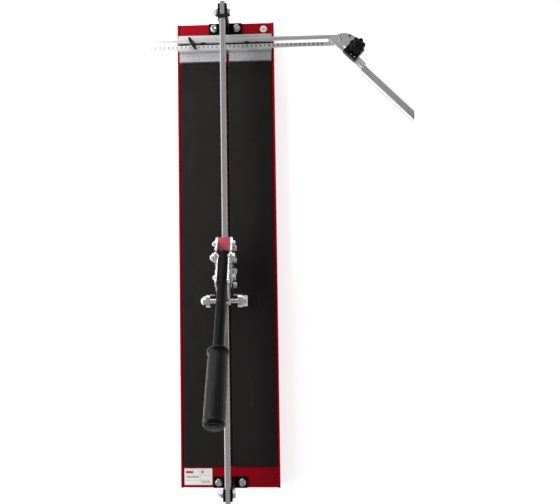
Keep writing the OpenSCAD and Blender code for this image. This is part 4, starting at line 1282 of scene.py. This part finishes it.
class CUTTER_OT_labels(Step, bpy.types.Operator):
    """Sticks on the plain label and the round badge"""

    bl_idname = "cutter.labels"
    bl_label = "Labels"

    def build(self, context, sizes):
        softened("near_label", "label_plate", 0.08 * MM, "white_film", 1)
        low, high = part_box("label_plate")
        top = high.z + PRINT_LIFT
        draw = random.Random(7)
        width, depth = high.x - low.x, high.y - low.y
        red, dark = bmesh.new(), bmesh.new()
        for first, last, upper in ((0.05, 0.32, 0.16), (0.62, 0.68, 0.14)):
            corner = (low.x + first * width, high.y - 0.3 * depth, top)
            block(red, corner, (low.x + last * width, high.y - upper * depth, top + PRINT_T))
        line = 0.35 * MM
        for row in (0.42, 0.72):
            y = high.y - row * depth
            block(dark, (low.x + 0.05 * width, y, top), (low.x + (0.05 + 0.9) * width, y + line, top + PRINT_T))
        x = low.x + 0.56 * width
        block(dark, (x, low.y + 0.08 * depth, top), (x + line, high.y - 0.08 * depth, top + PRINT_T))
        for row, first, last, short, long, tall, gap in (
            (0.56, 0.08, 0.5, 1.2, 3.4, 2.6 * MM, 0.9 * MM),
            (0.8, 0.62, 0.9, 0.8, 2.2, 1.1 * MM, 0.7 * MM),
            (0.88, 0.62, 0.9, 0.8, 2.2, 1.1 * MM, 0.7 * MM),
        ):
            y = high.y - row * depth
            at = low.x + first * width
            while at < low.x + last * width:
                step = draw.uniform(short, long) * MM
                block(dark, (at, y, top), (at + step, y + tall, top + PRINT_T))
                at += step + gap
        added_piece("label_red_bars", red, "base", "red_ink")
        added_piece("label_dark_bars", dark, "base", "scale_ink")
        low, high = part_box("round_badge")
        place = upright(low, high)
        radius = (high.x - low.x) / 2
        bm = bmesh.new()
        turned(bm, place, [
            (0, low.z), (radius, low.z), (radius, high.z - 0.1 * MM), (radius - 0.2 * MM, high.z),
            (0, high.z),
        ], 64)
        stand_in("far_badge", bm, "round_badge", "white_film")
        top = high.z + PRINT_LIFT
        bm = bmesh.new()
        turned(
            bm, place,
            [(1.2 * MM, top), (3.0 * MM, top), (3.0 * MM, top + PRINT_T), (1.2 * MM, top + PRINT_T)],
            40, closed=True,
        )
        turned(
            bm, place,
            [(6.6 * MM, top), (6.9 * MM, top), (6.9 * MM, top + PRINT_T), (6.6 * MM, top + PRINT_T)],
            56, closed=True,
        )
        added_piece("badge_ring", bm, "base", "grey_ink")


# ---- studio ----


class CUTTER_OT_studio(Step, bpy.types.Operator):
    """Sets the pale floor, the soft lights and the camera"""

    bl_idname = "cutter.studio"
    bl_label = "Studio"

    def build(self, context, sizes):
        studio = context.scene.cutter_studio
        paper = Finish(
            "floor_paper", (0.93, 0.93, 0.93), 0.9, Specular_IOR_Level=0.0,
            Emission_Color=(1, 1, 1, 1), Emission_Strength=0.6,
        )
        paper.tint(paper.span(paper.noise(3, 3), 0.4, 0.7, 0, 0.15), (0.9, 0.9, 0.9))
        bm = bmesh.new()
        reach = 30.0
        block(bm, (-reach, -reach, -0.02), (reach, reach, 0))
        mesh = bpy.data.meshes.new("studio_floor")
        bm.to_mesh(mesh)
        bm.free()
        mesh.materials.append(paper.material)
        floor = bpy.data.objects.new("studio_floor", mesh)
        context.scene.collection.objects.link(floor)
        self.lamp(context, "key_light", (-0.6, 0.12, 0.52), studio.key_power, 1.8, 0.35)
        self.lamp(context, "far_light", (-0.15, 1.6, 0.5), studio.far_power, 1.0, 0.3)
        self.lamp(context, "fill_light", (1.3, -0.4, 1.2), studio.fill_power, 1.5, 0.8)
        world = bpy.data.worlds.new("studio_world")
        world.use_nodes = True
        world.node_tree.nodes["Background"].inputs["Color"].default_value = (1, 1, 1, 1)
        world.node_tree.nodes["Background"].inputs["Strength"].default_value = studio.sky
        context.scene.world = world
        context.scene.view_settings.view_transform = "Standard"
        self.camera(context, studio.lens)

    def lamp(self, context, name, spot, power, length, width):
        """A long soft box that stands level and faces the middle of the base."""
        light = bpy.data.lights.new(name, "AREA")
        light.energy = power
        light.shape = "RECTANGLE"
        light.size = length
        light.size_y = width
        lamp = bpy.data.objects.new(name, light)
        lamp.location = spot
        lamp.rotation_euler = (-Vector(spot)).to_track_quat("-Z", "Y").to_euler()
        lamp.visible_camera = False
        context.scene.collection.objects.link(lamp)

    def camera(self, context, lens):
        data = bpy.data.cameras.new("camera")
        data.sensor_width = 36.0
        data.lens = lens
        data.shift_x, data.shift_y = 0.0636, 0.0462
        data.clip_start, data.clip_end = 0.01, 50.0
        camera = bpy.data.objects.new("camera", data)
        camera.location = (0.08967, -0.11515, 1.41466)
        camera.rotation_euler = (0.03989, 0.03873, -0.01275)
        context.scene.collection.objects.link(camera)
        context.scene.camera = camera


OPERATORS = (
    CUTTER_OT_finishes, CUTTER_OT_base, CUTTER_OT_mats, CUTTER_OT_posts, CUTTER_OT_rail, CUTTER_OT_tile_stop,
    CUTTER_OT_guide, CUTTER_OT_wing_clamp, CUTTER_OT_scale_bar, CUTTER_OT_protractor, CUTTER_OT_knob,
    CUTTER_OT_angle_arm, CUTTER_OT_carriage, CUTTER_OT_carriage_bolts, CUTTER_OT_rollers, CUTTER_OT_lever,
    CUTTER_OT_breaker, CUTTER_OT_scoring_wheel, CUTTER_OT_labels, CUTTER_OT_studio,
)


class CUTTER_PT_panel(bpy.types.Panel):
    """Lists the pieces and their sizes"""

    bl_idname = "CUTTER_PT_panel"
    bl_label = "Tile cutter"
    bl_space_type = "VIEW_3D"
    bl_region_type = "UI"
    bl_category = "Tile cutter"

    def draw(self, context):
        for group in (context.scene.cutter_colours, context.scene.cutter_sizes, context.scene.cutter_studio):
            for name in group.__annotations__:
                self.layout.prop(group, name)
        for operator in OPERATORS:
            self.layout.operator(operator.bl_idname)


CLASSES = (CutterColours, CutterSizes, CutterStudio, *OPERATORS, CUTTER_PT_panel)


def register():
    for cls in CLASSES:
        bpy.utils.register_class(cls)
    bpy.types.Scene.cutter_colours = bpy.props.PointerProperty(type=CutterColours)
    bpy.types.Scene.cutter_sizes = bpy.props.PointerProperty(type=CutterSizes)
    bpy.types.Scene.cutter_studio = bpy.props.PointerProperty(type=CutterStudio)


def unregister():
    del bpy.types.Scene.cutter_studio
    del bpy.types.Scene.cutter_sizes
    del bpy.types.Scene.cutter_colours
    for cls in reversed(CLASSES):
        bpy.utils.unregister_class(cls)


def main():
    register()
    for operator in OPERATORS:
        group, name = operator.bl_idname.split(".")
        getattr(getattr(bpy.ops, group), name)()


if __name__ == "__main__":
    main()
